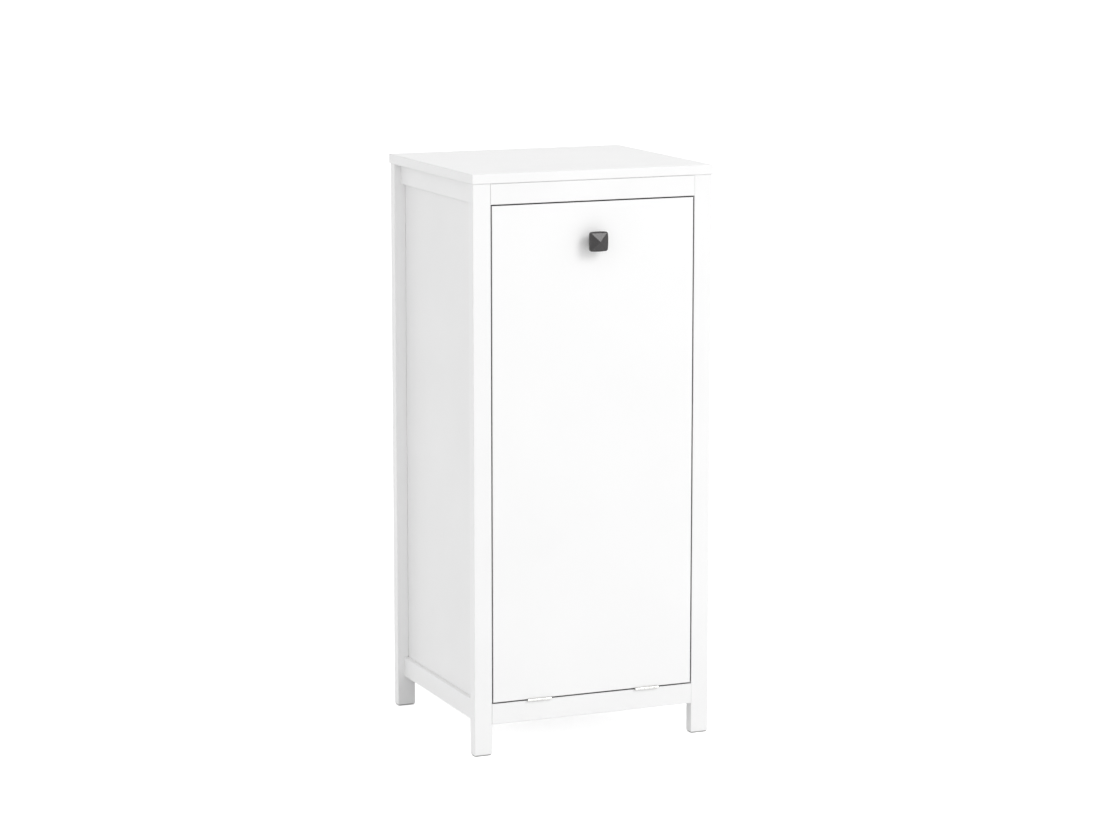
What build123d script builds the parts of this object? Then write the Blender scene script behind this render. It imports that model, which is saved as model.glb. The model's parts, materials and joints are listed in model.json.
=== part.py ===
from build123d import *
from math import asin, atan2, degrees, hypot
import os

os.makedirs("parts", exist_ok=True)

# A white laundry hamper cabinet: a framed carcass on four legs, closed by one inset door
# that tilts out on two butt hinges at its foot and carries a cloth bag in a wire frame.
# Millimetres, +Z up, +X to the viewer's right, +Y to the back. The origin is on the floor,
# at the middle of the box round the whole cabinet, knob included.

# Overall size
top_width = 400.0
top_depth = 360.0
total_height = 900.0
top_thickness = 15.0
top_overhang = 2.0
top_edge_chamfer = 0.9

# Frame stock
leg_width = 29.0
leg_depth = 18.0
rail_height = 32.0
rail_thickness = 18.0
rail_floor_height = 49.0
stock_edge_chamfer = 0.6
glide_thickness = 2.0
glide_inset = 1.0
glide_corner_chamfer = 2.0

# Thin panels held in grooves
panel_thickness = 4.0
groove_depth = 5.0
groove_clearance = 0.1
floor_panel_rise = 6.0

# Door
door_thickness = 16.0
door_gap = 2.0
door_edge_chamfer = 0.7

# Flat pack fittings
cam_radius = 6.0
cam_depth = 12.0
cam_inset = 25.0
cam_rise = 20.0
cam_slot_width = 7.0
cam_driver_width = 1.6
cam_driver_length = 7.2
cam_driver_depth = 1.2
bolt_radius = 2.3
bolt_head_radius = 3.2
bolt_head_length = 3.0
bolt_thread_length = 10.0
top_cam_distance = 60.0
top_cam_inset = 20.0
bore_clearance = 0.12

# Stub tenons on the ends of the front and back rails
tenon_length = 8.0
tenon_height = 10.0
tenon_thickness = 6.0
tenon_edge_inset = 3.0
tenon_face_inset = 3.5

# Hinges
hinge_length = 40.0
hinge_inset = 56.0
leaf_thickness = 0.85
leaf_width = 14.0
barrel_radius = 2.25
barrel_standoff = 0.05
knuckle_count = 5
knuckle_gap = 0.3
pin_radius = 1.2
pin_clearance = 0.08
hinge_screw_spacing = 24.0
hinge_screw_depth = 8.0
hinge_screw_length = 12.0
hinge_head_radius = 2.6
hinge_head_height = 0.8
hinge_shank_radius = 1.4

# Screws of the inner fittings
screw_head_radius = 3.2
screw_head_height = 1.5
screw_shank_radius = 1.7
screw_length = 13.0

# Magnetic catch and its strike
catch_width = 40.0
catch_height = 36.0
catch_thickness = 4.0
catch_drop = 14.0
catch_corner_chamfer = 2.0
catch_screw_spacing = 24.0
catch_screw_rise = 27.0
magnet_width = 30.0
magnet_height = 8.0
magnet_thickness = 2.6
magnet_rise = 3.0
strike_width = 36.0
strike_height = 12.0
strike_clearance = 0.4
strike_top_inset = 1.0
strike_screw_spacing = 24.0

# Knob
knob_size = 29.0
knob_bulge = 0.9
knob_corner_radius = 3.5
knob_foot_radius = 7.5
knob_foot_height = 1.6
knob_waist_radius = 5.0
knob_stem_length = 12.0
knob_flare_depth = 4.0
knob_flare_radius = 13.0
knob_rim_depth = 4.5
knob_face_border = 1.6
knob_pyramid_height = 5.0
knob_tip_size = 0.8
knob_drop = 59.0
knob_screw_radius = 2.0
knob_screw_bite = 9.0
knob_screw_head_radius = 4.0
knob_screw_head_height = 2.2

# Wire frame of the bag
wire_radius = 3.0
cross_bar_radius = 2.4
bag_frame_drop = 71.0
bag_frame_side_gap = 19.0
bag_frame_corner_radius = 30.0
cross_bar_distance = 20.0
rear_bar_clearance = 33.0
socket_depth = 14.0
socket_radius = 6.0
socket_floor = 2.0
flange_thickness = 3.0
flange_width = 20.0
flange_height = 44.0
flange_corner_chamfer = 5.0
flange_screw_spacing = 28.0
stop_pin_radius = 2.6
stop_pin_height = 24.0
stop_pin_corner_gap = 4.0
cap_wall = 1.4
cap_length = 14.0
cap_end = 2.0
stop_clearance = 0.4

# Laundry bag
bag_wall = 1.2
bag_wire_clearance = 0.3
bag_floor_gap = 31.0
bag_side_taper = 11.7
bag_end_taper = 13.2
bag_foot_corner_cut = 12.0
hem_corner_gap = 10.0
hem_notch_depth = 16.0

# Levels and faces worked out from the sizes above
frame_width = top_width - 2 * top_overhang
frame_depth = top_depth - 2 * top_overhang
frame_top = total_height - top_thickness
outer_x = frame_width / 2
inner_x = outer_x - leg_width
knob_projection = knob_stem_length + knob_flare_depth + knob_rim_depth + knob_pyramid_height
front_y = (knob_projection - frame_depth - top_overhang) / 2
back_y = front_y + frame_depth
middle_y = (front_y + back_y) / 2
inner_front_y = front_y + leg_depth
inner_back_y = back_y - leg_depth
inner_depth = inner_back_y - inner_front_y
leg_x = outer_x - leg_width / 2
side_rail_x = inner_x + rail_thickness / 2
front_rail_y = front_y + rail_thickness / 2
back_rail_y = back_y - rail_thickness / 2
lower_rail_top = rail_floor_height + rail_height
upper_rail_foot = frame_top - rail_height
floor_panel_foot = rail_floor_height + floor_panel_rise
groove_width = panel_thickness + 2 * groove_clearance
panel_foot = lower_rail_top - groove_depth + groove_clearance
panel_head = upper_rail_foot + groove_depth - groove_clearance
panel_reach = groove_depth - groove_clearance
door_foot = lower_rail_top + door_gap
door_head = upper_rail_foot - door_gap
door_width = 2 * inner_x - 2 * door_gap
door_back_y = front_y + door_thickness
hinge_axis_y = front_y - barrel_radius - barrel_standoff
hinge_axis_z = lower_rail_top + door_gap / 2
hinge_offset = door_width / 2 - hinge_inset - hinge_length / 2
rail_levels = {"bottom": rail_floor_height, "top": upper_rail_foot}
tenon_feet = {
    "bottom": rail_floor_height + tenon_edge_inset,
    "top": frame_top - tenon_edge_inset - tenon_height,
}
tenon_ys = {
    "front": front_y + tenon_face_inset + tenon_thickness / 2,
    "rear": back_y - tenon_face_inset - tenon_thickness / 2,
}
sides = {"left": -1, "right": 1}


# Shared fastener shapes, each with its head's outer face at the origin and its shank down -Z
def countersunk_screw(head_radius, head_height, shank_radius, length, clearance=0.0):
    """A flat head screw, or with a clearance the hole that it sits in."""
    with BuildPart() as screw:
        with BuildSketch(Plane.XZ):
            with BuildLine():
                Polyline(
                    (0, 0),
                    (head_radius + clearance, 0),
                    (shank_radius + clearance, -head_height),
                    (shank_radius + clearance, -length - clearance),
                    (0, -length - clearance),
                    close=True,
                )
            make_face()
        revolve(axis=Axis.Z)
    return screw.part


def cam_bolt(inset, clearance=0.0):
    """A cam fitting's bolt: its thread up +Z from the joint, its plain end and head down -Z."""
    reach = inset - cam_slot_width / 4
    shank = bolt_radius + clearance
    head = bolt_head_radius + clearance
    with BuildPart() as bolt:
        with BuildSketch(Plane.XZ):
            with BuildLine():
                Polyline(
                    (0, bolt_thread_length + clearance),
                    (shank, bolt_thread_length + clearance),
                    (shank, -reach + bolt_head_length),
                    (head, -reach + bolt_head_length),
                    (head, -reach),
                    (0, -reach),
                    close=True,
                )
            make_face()
        revolve(axis=Axis.Z)
    return bolt.part


def cam_lock():
    """A round cam with its outer face at the origin, its depth down -Z and its slot to +X."""
    with BuildPart() as cam:
        with BuildSketch():
            Circle(cam_radius)
        extrude(amount=-cam_depth + bore_clearance)
        with BuildSketch(Plane.XY.offset(-cam_driver_depth)):
            Rectangle(cam_driver_length, cam_driver_width)
        extrude(amount=cam_driver_depth, mode=Mode.SUBTRACT)
        with BuildSketch(Plane.XY.offset(-rail_thickness / 2 - cam_slot_width / 2)):
            with Locations((cam_radius / 2, 0)):
                Rectangle(2 * cam_radius, cam_slot_width)
        extrude(amount=cam_slot_width, mode=Mode.SUBTRACT)
    return cam.part


hinge_screw = countersunk_screw(
    hinge_head_radius, hinge_head_height, hinge_shank_radius, hinge_screw_length)
hinge_screw_hole = countersunk_screw(
    hinge_head_radius, hinge_head_height, hinge_shank_radius, hinge_screw_length, bore_clearance)
fitting_screw = countersunk_screw(
    screw_head_radius, screw_head_height, screw_shank_radius, screw_length)
fitting_screw_hole = countersunk_screw(
    screw_head_radius, screw_head_height, screw_shank_radius, screw_length, bore_clearance)
end_bolt_solid = cam_bolt(cam_inset)
end_bolt_hole = cam_bolt(cam_inset, bore_clearance)
top_bolt_solid = cam_bolt(top_cam_inset)
top_bolt_hole = cam_bolt(top_cam_inset, bore_clearance)
cam_solid = cam_lock()

# Turns that point a fastener's +Z end along a direction of the cabinet
facing = {"+x": (0, 90, 0), "-x": (0, -90, 0), "+y": (-90, 0, 0), "-y": (90, 0, 0), "+z": (0, 0, 0)}
facing_down = (180, 0, 0)

# Places of the fittings that join the front and back rails to the legs
end_bolts = []
end_cams = []
for level in rail_levels.values():
    for side in sides.values():
        for rail_y, inward in ((front_rail_y, 1), (back_rail_y, -1)):
            outward = facing["+x"] if side > 0 else facing["-x"]
            end_bolts.append(Location((side * inner_x, rail_y, level + cam_rise), outward))
            cam_face_y = rail_y + inward * rail_thickness / 2
            cam_turn = (-90 * inward, 0, 0 if side > 0 else 180)
            cam_place = (side * (inner_x - cam_inset), cam_face_y, level + cam_rise)
            end_cams.append(Location(cam_place) * Location((0, 0, 0), cam_turn))

# Places of the cam fittings that hold the top board down on the side rails
top_bolts = []
top_cams = []
for side in sides.values():
    for cam_y in (inner_front_y + top_cam_distance, inner_back_y - top_cam_distance):
        top_bolts.append(Location((side * side_rail_x, cam_y, frame_top), facing["+z"]))
        cam_place = (side * inner_x, cam_y, frame_top - top_cam_inset)
        cam_turn = (0, -90 * side, 0)
        slot_up = (0, 0, 0 if side > 0 else 180)
        top_cams.append(Location(cam_place, cam_turn) * Location((0, 0, 0), slot_up))

# Places of the hinge screws
hinge_screw_y = front_y + hinge_screw_depth
hinge_screw_points = [
    (side * hinge_offset + offset * hinge_screw_spacing / 2, hinge_screw_y)
    for side in sides.values()
    for offset in (-1, 1)
]
lower_leaf_top = lower_rail_top + leaf_thickness
upper_leaf_foot = door_foot - leaf_thickness
hinge_rail_screws = [Location((x, y, lower_leaf_top)) for x, y in hinge_screw_points]
hinge_door_screws = [Location((x, y, upper_leaf_foot), facing_down) for x, y in hinge_screw_points]

# Places of the catch and strike screws
catch_foot = upper_rail_foot - catch_drop
catch_back_y = inner_front_y + catch_thickness
catch_screws = [
    Location((offset * catch_screw_spacing / 2, catch_back_y, catch_foot + catch_screw_rise), facing["+y"])
    for offset in (-1, 1)
]
strike_thickness = leg_depth - door_thickness - strike_clearance
strike_z = door_head - strike_top_inset - strike_height / 2
strike_back_y = door_back_y + strike_thickness
strike_screws = [
    Location((offset * strike_screw_spacing / 2, strike_back_y, strike_z), facing["+y"])
    for offset in (-1, 1)
]

# Places of the socket screws on the door's back
bag_bar_x = inner_x - bag_frame_side_gap
bag_frame_height = upper_rail_foot - bag_frame_drop
flange_back_y = door_back_y + flange_thickness
socket_screws = [
    Location((side * bag_bar_x, flange_back_y, bag_frame_height + offset * flange_screw_spacing / 2), facing["+y"])
    for side in sides.values()
    for offset in (-1, 1)
]

# Top board
with BuildPart() as top_board:
    with BuildSketch(Plane.XY.offset(frame_top)):
        with Locations((0, middle_y)):
            Rectangle(top_width, top_depth)
    extrude(amount=top_thickness)
    chamfer(top_board.edges(), top_edge_chamfer)
    with Locations(*top_bolts):
        add(top_bolt_hole, mode=Mode.SUBTRACT)
top_board.part.label = "top_board"
export_step(top_board.part, "parts/top_board.step")

# Legs, grooved for the side rails and panel, and the rear ones for the back panel too
leg_foot = glide_thickness
for side_name, side in sides.items():
    for end_name, leg_y, inward in (("front", front_rail_y, 1), ("rear", back_rail_y, -1)):
        with BuildPart() as leg:
            with BuildSketch(Plane.XY.offset(leg_foot)):
                with Locations((side * leg_x, leg_y)):
                    Rectangle(leg_width, leg_depth)
            extrude(amount=frame_top - leg_foot)
            chamfer(leg.edges().filter_by(Axis.Z), stock_edge_chamfer)
            with BuildSketch(Plane.XY.offset(rail_floor_height - groove_clearance)):
                with Locations((side * side_rail_x, leg_y + inward * (leg_depth - groove_depth) / 2)):
                    Rectangle(groove_width, groove_depth)
            extrude(amount=frame_top - rail_floor_height + groove_clearance, mode=Mode.SUBTRACT)
            if end_name == "rear":
                groove_foot = lower_rail_top - groove_depth
                with BuildSketch(Plane.XY.offset(groove_foot)):
                    with Locations((side * (inner_x + groove_depth / 2), back_rail_y)):
                        Rectangle(groove_depth, groove_width)
                extrude(amount=upper_rail_foot + groove_depth - groove_foot, mode=Mode.SUBTRACT)
            for tenon_foot in tenon_feet.values():
                with BuildSketch(Plane.XY.offset(tenon_foot - groove_clearance)):
                    with Locations((side * (inner_x + tenon_length / 2), tenon_ys[end_name])):
                        Rectangle(tenon_length + 2 * groove_clearance,
                                  tenon_thickness + 2 * groove_clearance)
                extrude(amount=tenon_height + 2 * groove_clearance, mode=Mode.SUBTRACT)
            with Locations(*end_bolts):
                add(end_bolt_hole, mode=Mode.SUBTRACT)
        leg.part.label = f"{end_name}_{side_name}_leg"
        export_step(leg.part, f"parts/{end_name}_{side_name}_leg.step")

# Front and back rails, with a stub tenon at each end
cam_pocket_radius = cam_radius + bore_clearance
for end_name, rail_y, inward in (("front", front_rail_y, 1), ("rear", back_rail_y, -1)):
    for level_name, level in rail_levels.items():
        with BuildPart() as rail:
            with BuildSketch(Plane.XY.offset(level)):
                with Locations((0, rail_y)):
                    Rectangle(2 * inner_x, rail_thickness)
            extrude(amount=rail_height)
            chamfer(rail.edges().filter_by(Axis.X), stock_edge_chamfer)
            with BuildSketch(Plane.XY.offset(tenon_feet[level_name])):
                with Locations((0, tenon_ys[end_name])):
                    Rectangle(2 * inner_x + 2 * tenon_length, tenon_thickness)
            extrude(amount=tenon_height)
            if level_name == "bottom":
                groove_y = rail_y + inward * (rail_thickness - groove_depth) / 2
                with BuildSketch(Plane.XY.offset(floor_panel_foot - groove_clearance)):
                    with Locations((0, groove_y)):
                        Rectangle(2 * inner_x, groove_depth)
                extrude(amount=groove_width, mode=Mode.SUBTRACT)
            if end_name == "rear":
                groove_z = lower_rail_top - groove_depth if level_name == "bottom" else level
                with BuildSketch(Plane.XY.offset(groove_z)):
                    with Locations((0, rail_y)):
                        Rectangle(2 * inner_x, groove_width)
                extrude(amount=groove_depth, mode=Mode.SUBTRACT)
            with Locations(*end_bolts):
                add(end_bolt_hole, mode=Mode.SUBTRACT)
            pocket_y = rail_y + inward * (rail_thickness - cam_depth) / 2
            pocket_x = inner_x - cam_inset
            with Locations((-pocket_x, pocket_y, level + cam_rise), (pocket_x, pocket_y, level + cam_rise)):
                Cylinder(cam_pocket_radius, cam_depth, rotation=(90, 0, 0), mode=Mode.SUBTRACT)
            if end_name == "front" and level_name == "bottom":
                with Locations(*hinge_rail_screws):
                    add(hinge_screw_hole, mode=Mode.SUBTRACT)
            if end_name == "front" and level_name == "top":
                with Locations(*catch_screws):
                    add(fitting_screw_hole, mode=Mode.SUBTRACT)
        rail.part.label = f"{end_name}_{level_name}_rail"
        export_step(rail.part, f"parts/{end_name}_{level_name}_rail.step")

# Side rails, set in from the outer faces of the legs, with a tongue in the groove of each leg
for side_name, side in sides.items():
    for level_name, level in rail_levels.items():
        tongue_foot = level if level_name == "bottom" else level + groove_depth
        with BuildPart() as rail:
            with BuildSketch(Plane.XY.offset(level)):
                with Locations((side * side_rail_x, middle_y)):
                    Rectangle(rail_thickness, inner_depth)
            extrude(amount=rail_height)
            chamfer(rail.edges().filter_by(Axis.Y), stock_edge_chamfer)
            with BuildSketch(Plane.XY.offset(tongue_foot)):
                with Locations((side * side_rail_x, middle_y)):
                    Rectangle(panel_thickness, inner_depth + 2 * panel_reach)
            extrude(amount=rail_height - groove_depth)
            groove_z = lower_rail_top - groove_depth if level_name == "bottom" else level
            with BuildSketch(Plane.XY.offset(groove_z)):
                with Locations((side * side_rail_x, middle_y)):
                    Rectangle(groove_width, inner_depth)
            extrude(amount=groove_depth, mode=Mode.SUBTRACT)
            if level_name == "bottom":
                with BuildSketch(Plane.XY.offset(floor_panel_foot - groove_clearance)):
                    with Locations((side * (inner_x + groove_depth / 2), middle_y)):
                        Rectangle(groove_depth, inner_depth)
                extrude(amount=groove_width, mode=Mode.SUBTRACT)
            else:
                pocket_x = side * (inner_x + cam_depth / 2)
                with Locations(*[(pocket_x, place.position.Y, frame_top - top_cam_inset) for place in top_cams]):
                    Cylinder(cam_pocket_radius, cam_depth, rotation=(0, 90, 0), mode=Mode.SUBTRACT)
                with Locations(*top_bolts):
                    add(top_bolt_hole, mode=Mode.SUBTRACT)
        rail.part.label = f"{side_name}_{level_name}_rail"
        export_step(rail.part, f"parts/{side_name}_{level_name}_rail.step")

# Side panels, in the grooves of the legs and side rails
for side_name, side in sides.items():
    with BuildPart() as side_panel:
        with BuildSketch(Plane.XY.offset(panel_foot)):
            with Locations((side * side_rail_x, middle_y)):
                Rectangle(panel_thickness, inner_depth + 2 * panel_reach)
        extrude(amount=panel_head - panel_foot)
    side_panel.part.label = f"{side_name}_side_panel"
    export_step(side_panel.part, f"parts/{side_name}_side_panel.step")

# Back panel, in the grooves of the rear legs and rails
with BuildPart() as back_panel:
    with BuildSketch(Plane.XY.offset(panel_foot)):
        with Locations((0, back_rail_y)):
            Rectangle(2 * inner_x + 2 * panel_reach, panel_thickness)
    extrude(amount=panel_head - panel_foot)
back_panel.part.label = "back_panel"
export_step(back_panel.part, "parts/back_panel.step")

# Bottom panel, in the grooves of the four bottom rails and notched round the legs
with BuildPart() as bottom_panel:
    with BuildSketch(Plane.XY.offset(floor_panel_foot)):
        with Locations((0, middle_y)):
            Rectangle(2 * inner_x - 2 * groove_clearance, inner_depth + 2 * panel_reach)
            Rectangle(2 * inner_x + 2 * panel_reach, inner_depth - 2 * groove_clearance)
    extrude(amount=panel_thickness)
bottom_panel.part.label = "bottom_panel"
export_step(bottom_panel.part, "parts/bottom_panel.step")

# Glides under the legs
with BuildPart() as foot_glides:
    with BuildSketch() as glide_faces:
        with Locations(*[(side * leg_x, y) for side in sides.values() for y in (front_rail_y, back_rail_y)]):
            Rectangle(leg_width - 2 * glide_inset, leg_depth - 2 * glide_inset)
        chamfer(glide_faces.vertices(), glide_corner_chamfer)
    extrude(amount=glide_thickness)
foot_glides.part.label = "foot_glides"
export_step(foot_glides.part, "parts/foot_glides.step")

# Cam bolts and cams
with BuildPart() as cam_bolts:
    with Locations(*end_bolts):
        add(end_bolt_solid)
    with Locations(*top_bolts):
        add(top_bolt_solid)
cam_bolts.part.label = "cam_bolts"
export_step(cam_bolts.part, "parts/cam_bolts.step")

with BuildPart() as cam_locks:
    with Locations(*end_cams, *top_cams):
        add(cam_solid)
cam_locks.part.label = "cam_locks"
export_step(cam_locks.part, "parts/cam_locks.step")

# Butt hinges: the knuckles of the two leaves take turns along one pin
knuckle_pitch = hinge_length / knuckle_count
barrel_plane = Plane(origin=(0, hinge_axis_y, hinge_axis_z), x_dir=(0, 1, 0), z_dir=(1, 0, 0))
leaf_back_y = front_y + leaf_width


def hinge_leaf(centre_x, leaf_foot, first_knuckle):
    """One leaf, with every second knuckle from the first one given."""
    start_x = centre_x - hinge_length / 2
    with BuildPart() as leaf:
        with BuildSketch(Plane.XY.offset(leaf_foot)):
            with Locations((centre_x, (hinge_axis_y + leaf_back_y) / 2)):
                Rectangle(hinge_length - knuckle_gap, leaf_back_y - hinge_axis_y)
        extrude(amount=leaf_thickness)
        for number in range(knuckle_count):
            knuckle_x = start_x + (number + 0.5) * knuckle_pitch
            if number % 2 == first_knuckle:
                with Locations((knuckle_x, hinge_axis_y, hinge_axis_z)):
                    Cylinder(barrel_radius, knuckle_pitch - knuckle_gap, rotation=(0, 90, 0))
            else:
                with Locations((knuckle_x, hinge_axis_y, hinge_axis_z)):
                    Box(knuckle_pitch + knuckle_gap, 2 * (barrel_radius + knuckle_gap),
                        2 * barrel_radius, mode=Mode.SUBTRACT)
        with Locations((centre_x, hinge_axis_y, hinge_axis_z)):
            Cylinder(pin_radius + pin_clearance, 2 * hinge_length, rotation=(0, 90, 0), mode=Mode.SUBTRACT)
        if first_knuckle == 0:
            with Locations(*hinge_rail_screws):
                add(hinge_screw_hole, mode=Mode.SUBTRACT)
        else:
            with Locations(*hinge_door_screws):
                add(hinge_screw_hole, mode=Mode.SUBTRACT)
    return leaf.part


for side_name, side in sides.items():
    hinge_x = side * hinge_offset
    rail_leaf = hinge_leaf(hinge_x, lower_rail_top, 0)
    rail_leaf.label = f"{side_name}_hinge_rail_leaf"
    export_step(rail_leaf, f"parts/{side_name}_hinge_rail_leaf.step")
    door_leaf = hinge_leaf(hinge_x, upper_leaf_foot, 1)
    door_leaf.label = f"{side_name}_hinge_door_leaf"
    export_step(door_leaf, f"parts/{side_name}_hinge_door_leaf.step")
    with BuildPart() as hinge_pin:
        with Locations((hinge_x, hinge_axis_y, hinge_axis_z)):
            Cylinder(pin_radius, hinge_length, rotation=(0, 90, 0))
    hinge_pin.part.label = f"{side_name}_hinge_pin"
    export_step(hinge_pin.part, f"parts/{side_name}_hinge_pin.step")

with BuildPart() as hinge_rail_screw_set:
    with Locations(*hinge_rail_screws):
        add(hinge_screw)
hinge_rail_screw_set.part.label = "hinge_rail_screws"
export_step(hinge_rail_screw_set.part, "parts/hinge_rail_screws.step")

with BuildPart() as hinge_door_screw_set:
    with Locations(*hinge_door_screws):
        add(hinge_screw)
hinge_door_screw_set.part.label = "hinge_door_screws"
export_step(hinge_door_screw_set.part, "parts/hinge_door_screws.step")

# Magnetic catch on the back of the front top rail, hanging below it behind the door
catch_z = catch_foot + catch_height / 2
magnet_z = catch_foot + magnet_rise + magnet_height / 2
catch_plane = Plane(origin=(0, inner_front_y, 0), x_dir=(-1, 0, 0), z_dir=(0, 1, 0))
with BuildPart() as magnetic_catch:
    with BuildSketch(catch_plane) as catch_face:
        with Locations((0, catch_z)):
            Rectangle(catch_width, catch_height)
        chamfer(catch_face.vertices(), catch_corner_chamfer)
    extrude(amount=catch_thickness)
    with BuildSketch(catch_plane):
        with Locations((0, magnet_z)):
            Rectangle(magnet_width + 2 * groove_clearance, magnet_height + 2 * groove_clearance)
    extrude(amount=magnet_thickness + groove_clearance, mode=Mode.SUBTRACT)
    with Locations(*catch_screws):
        add(fitting_screw_hole, mode=Mode.SUBTRACT)
magnetic_catch.part.label = "magnetic_catch"
export_step(magnetic_catch.part, "parts/magnetic_catch.step")

with BuildPart() as catch_magnet:
    with BuildSketch(catch_plane):
        with Locations((0, magnet_z)):
            Rectangle(magnet_width, magnet_height)
    extrude(amount=magnet_thickness)
catch_magnet.part.label = "catch_magnet"
export_step(catch_magnet.part, "parts/catch_magnet.step")

with BuildPart() as catch_screw_set:
    with Locations(*catch_screws):
        add(fitting_screw)
catch_screw_set.part.label = "catch_screws"
export_step(catch_screw_set.part, "parts/catch_screws.step")

# Door panel, inset and flush with the frame
knob_z = door_head - knob_drop
socket_floor_y = door_back_y + socket_floor
with BuildPart() as door_panel:
    with BuildSketch(Plane.XY.offset(door_foot)):
        with Locations((0, front_y + door_thickness / 2)):
            Rectangle(door_width, door_thickness)
    extrude(amount=door_head - door_foot)
    chamfer(door_panel.edges().group_by(Axis.Y)[0], door_edge_chamfer)
    chamfer(door_panel.edges().group_by(Axis.Y)[-1], door_edge_chamfer)
    with Locations((0, front_y + door_thickness / 2, knob_z)):
        Cylinder(knob_screw_radius + bore_clearance, 2 * door_thickness, rotation=(90, 0, 0),
                 mode=Mode.SUBTRACT)
    with Locations(*hinge_door_screws):
        add(hinge_screw_hole, mode=Mode.SUBTRACT)
    with Locations(*strike_screws, *socket_screws):
        add(fitting_screw_hole, mode=Mode.SUBTRACT)
door_panel.part.label = "door_panel"
export_step(door_panel.part, "parts/door_panel.step")

# Knob: a turned stem that flares to a square head with a low pyramid on its face
knob_plane = Plane(origin=(0, front_y, knob_z), x_dir=(1, 0, 0), z_dir=(0, -1, 0))
stem_plane = Plane(origin=(0, front_y, knob_z), x_dir=(1, 0, 0), z_dir=(0, 0, 1))
rim_foot = knob_stem_length + knob_flare_depth
rim_head = rim_foot + knob_rim_depth
head_half = knob_size / 2
head_bow = head_half + knob_bulge
with BuildPart() as knob:
    with BuildSketch(stem_plane):
        with BuildLine():
            Polyline(
                (0, 0),
                (knob_foot_radius, 0),
                (knob_foot_radius, -knob_foot_height),
                (knob_waist_radius, -knob_foot_height),
                (knob_waist_radius, -knob_stem_length),
                (knob_flare_radius, -rim_foot),
                (0, -rim_foot),
                close=True,
            )
        make_face()
    revolve(axis=Axis((0, front_y, knob_z), (0, 1, 0)))
    with BuildSketch(knob_plane.offset(rim_foot)) as head_face:
        with BuildLine():
            ThreePointArc((-head_half, -head_half), (0, -head_bow), (head_half, -head_half))
            ThreePointArc((head_half, -head_half), (head_bow, 0), (head_half, head_half))
            ThreePointArc((head_half, head_half), (0, head_bow), (-head_half, head_half))
            ThreePointArc((-head_half, head_half), (-head_bow, 0), (-head_half, -head_half))
        make_face()
        fillet(head_face.vertices(), knob_corner_radius)
    extrude(amount=knob_rim_depth)
    chamfer(knob.faces().sort_by(Axis.Y)[0].edges(), knob_face_border / 2)
    with BuildSketch(knob_plane.offset(rim_head)):
        Rectangle(knob_size - 2 * knob_face_border, knob_size - 2 * knob_face_border)
    with BuildSketch(knob_plane.offset(rim_head + knob_pyramid_height)):
        Rectangle(knob_tip_size, knob_tip_size)
    loft(ruled=True)
    with BuildSketch(knob_plane):
        Circle(knob_screw_radius + bore_clearance)
    extrude(amount=knob_screw_bite + bore_clearance, mode=Mode.SUBTRACT)
knob.part.label = "knob"
export_step(knob.part, "parts/knob.step")

with BuildPart() as knob_screw:
    with BuildSketch(knob_plane.offset(knob_screw_bite)):
        Circle(knob_screw_radius)
    extrude(amount=-knob_screw_bite - door_thickness)
    with BuildSketch(knob_plane.offset(-door_thickness)):
        Circle(knob_screw_head_radius)
    extrude(amount=-knob_screw_head_height)
    chamfer(knob_screw.edges().sort_by(Axis.Y)[-1], knob_screw_head_height / 2)
knob_screw.part.label = "knob_screw"
export_step(knob_screw.part, "parts/knob_screw.step")

# Strike plate on the door's back
door_back_plane = Plane(origin=(0, door_back_y, 0), x_dir=(-1, 0, 0), z_dir=(0, 1, 0))
with BuildPart() as strike_plate:
    with BuildSketch(door_back_plane) as strike_face:
        with Locations((0, strike_z)):
            Rectangle(strike_width, strike_height)
        chamfer(strike_face.vertices(), catch_corner_chamfer)
    extrude(amount=strike_thickness)
    with Locations(*strike_screws):
        add(fitting_screw_hole, mode=Mode.SUBTRACT)
strike_plate.part.label = "strike_plate"
export_step(strike_plate.part, "parts/strike_plate.step")

with BuildPart() as strike_screw_set:
    with Locations(*strike_screws):
        add(fitting_screw)
strike_screw_set.part.label = "strike_screws"
export_step(strike_screw_set.part, "parts/strike_screws.step")

# Sockets that hold the two ends of the bag's wire frame
for side_name, side in sides.items():
    with BuildPart() as socket:
        with BuildSketch(door_back_plane) as flange_face:
            with Locations((-side * bag_bar_x, bag_frame_height)):
                Rectangle(flange_width, flange_height)
            chamfer(flange_face.vertices(), flange_corner_chamfer)
        extrude(amount=flange_thickness)
        with BuildSketch(door_back_plane):
            with Locations((-side * bag_bar_x, bag_frame_height)):
                Circle(socket_radius)
        extrude(amount=socket_depth)
        with BuildSketch(door_back_plane.offset(socket_floor)):
            with Locations((-side * bag_bar_x, bag_frame_height)):
                Circle(wire_radius + bore_clearance)
        extrude(amount=socket_depth, mode=Mode.SUBTRACT)
        with Locations(*socket_screws):
            add(fitting_screw_hole, mode=Mode.SUBTRACT)
    socket.part.label = f"{side_name}_frame_socket"
    export_step(socket.part, f"parts/{side_name}_frame_socket.step")

with BuildPart() as socket_screw_set:
    with Locations(*socket_screws):
        add(fitting_screw)
socket_screw_set.part.label = "socket_screws"
export_step(socket_screw_set.part, "parts/socket_screws.step")

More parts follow.
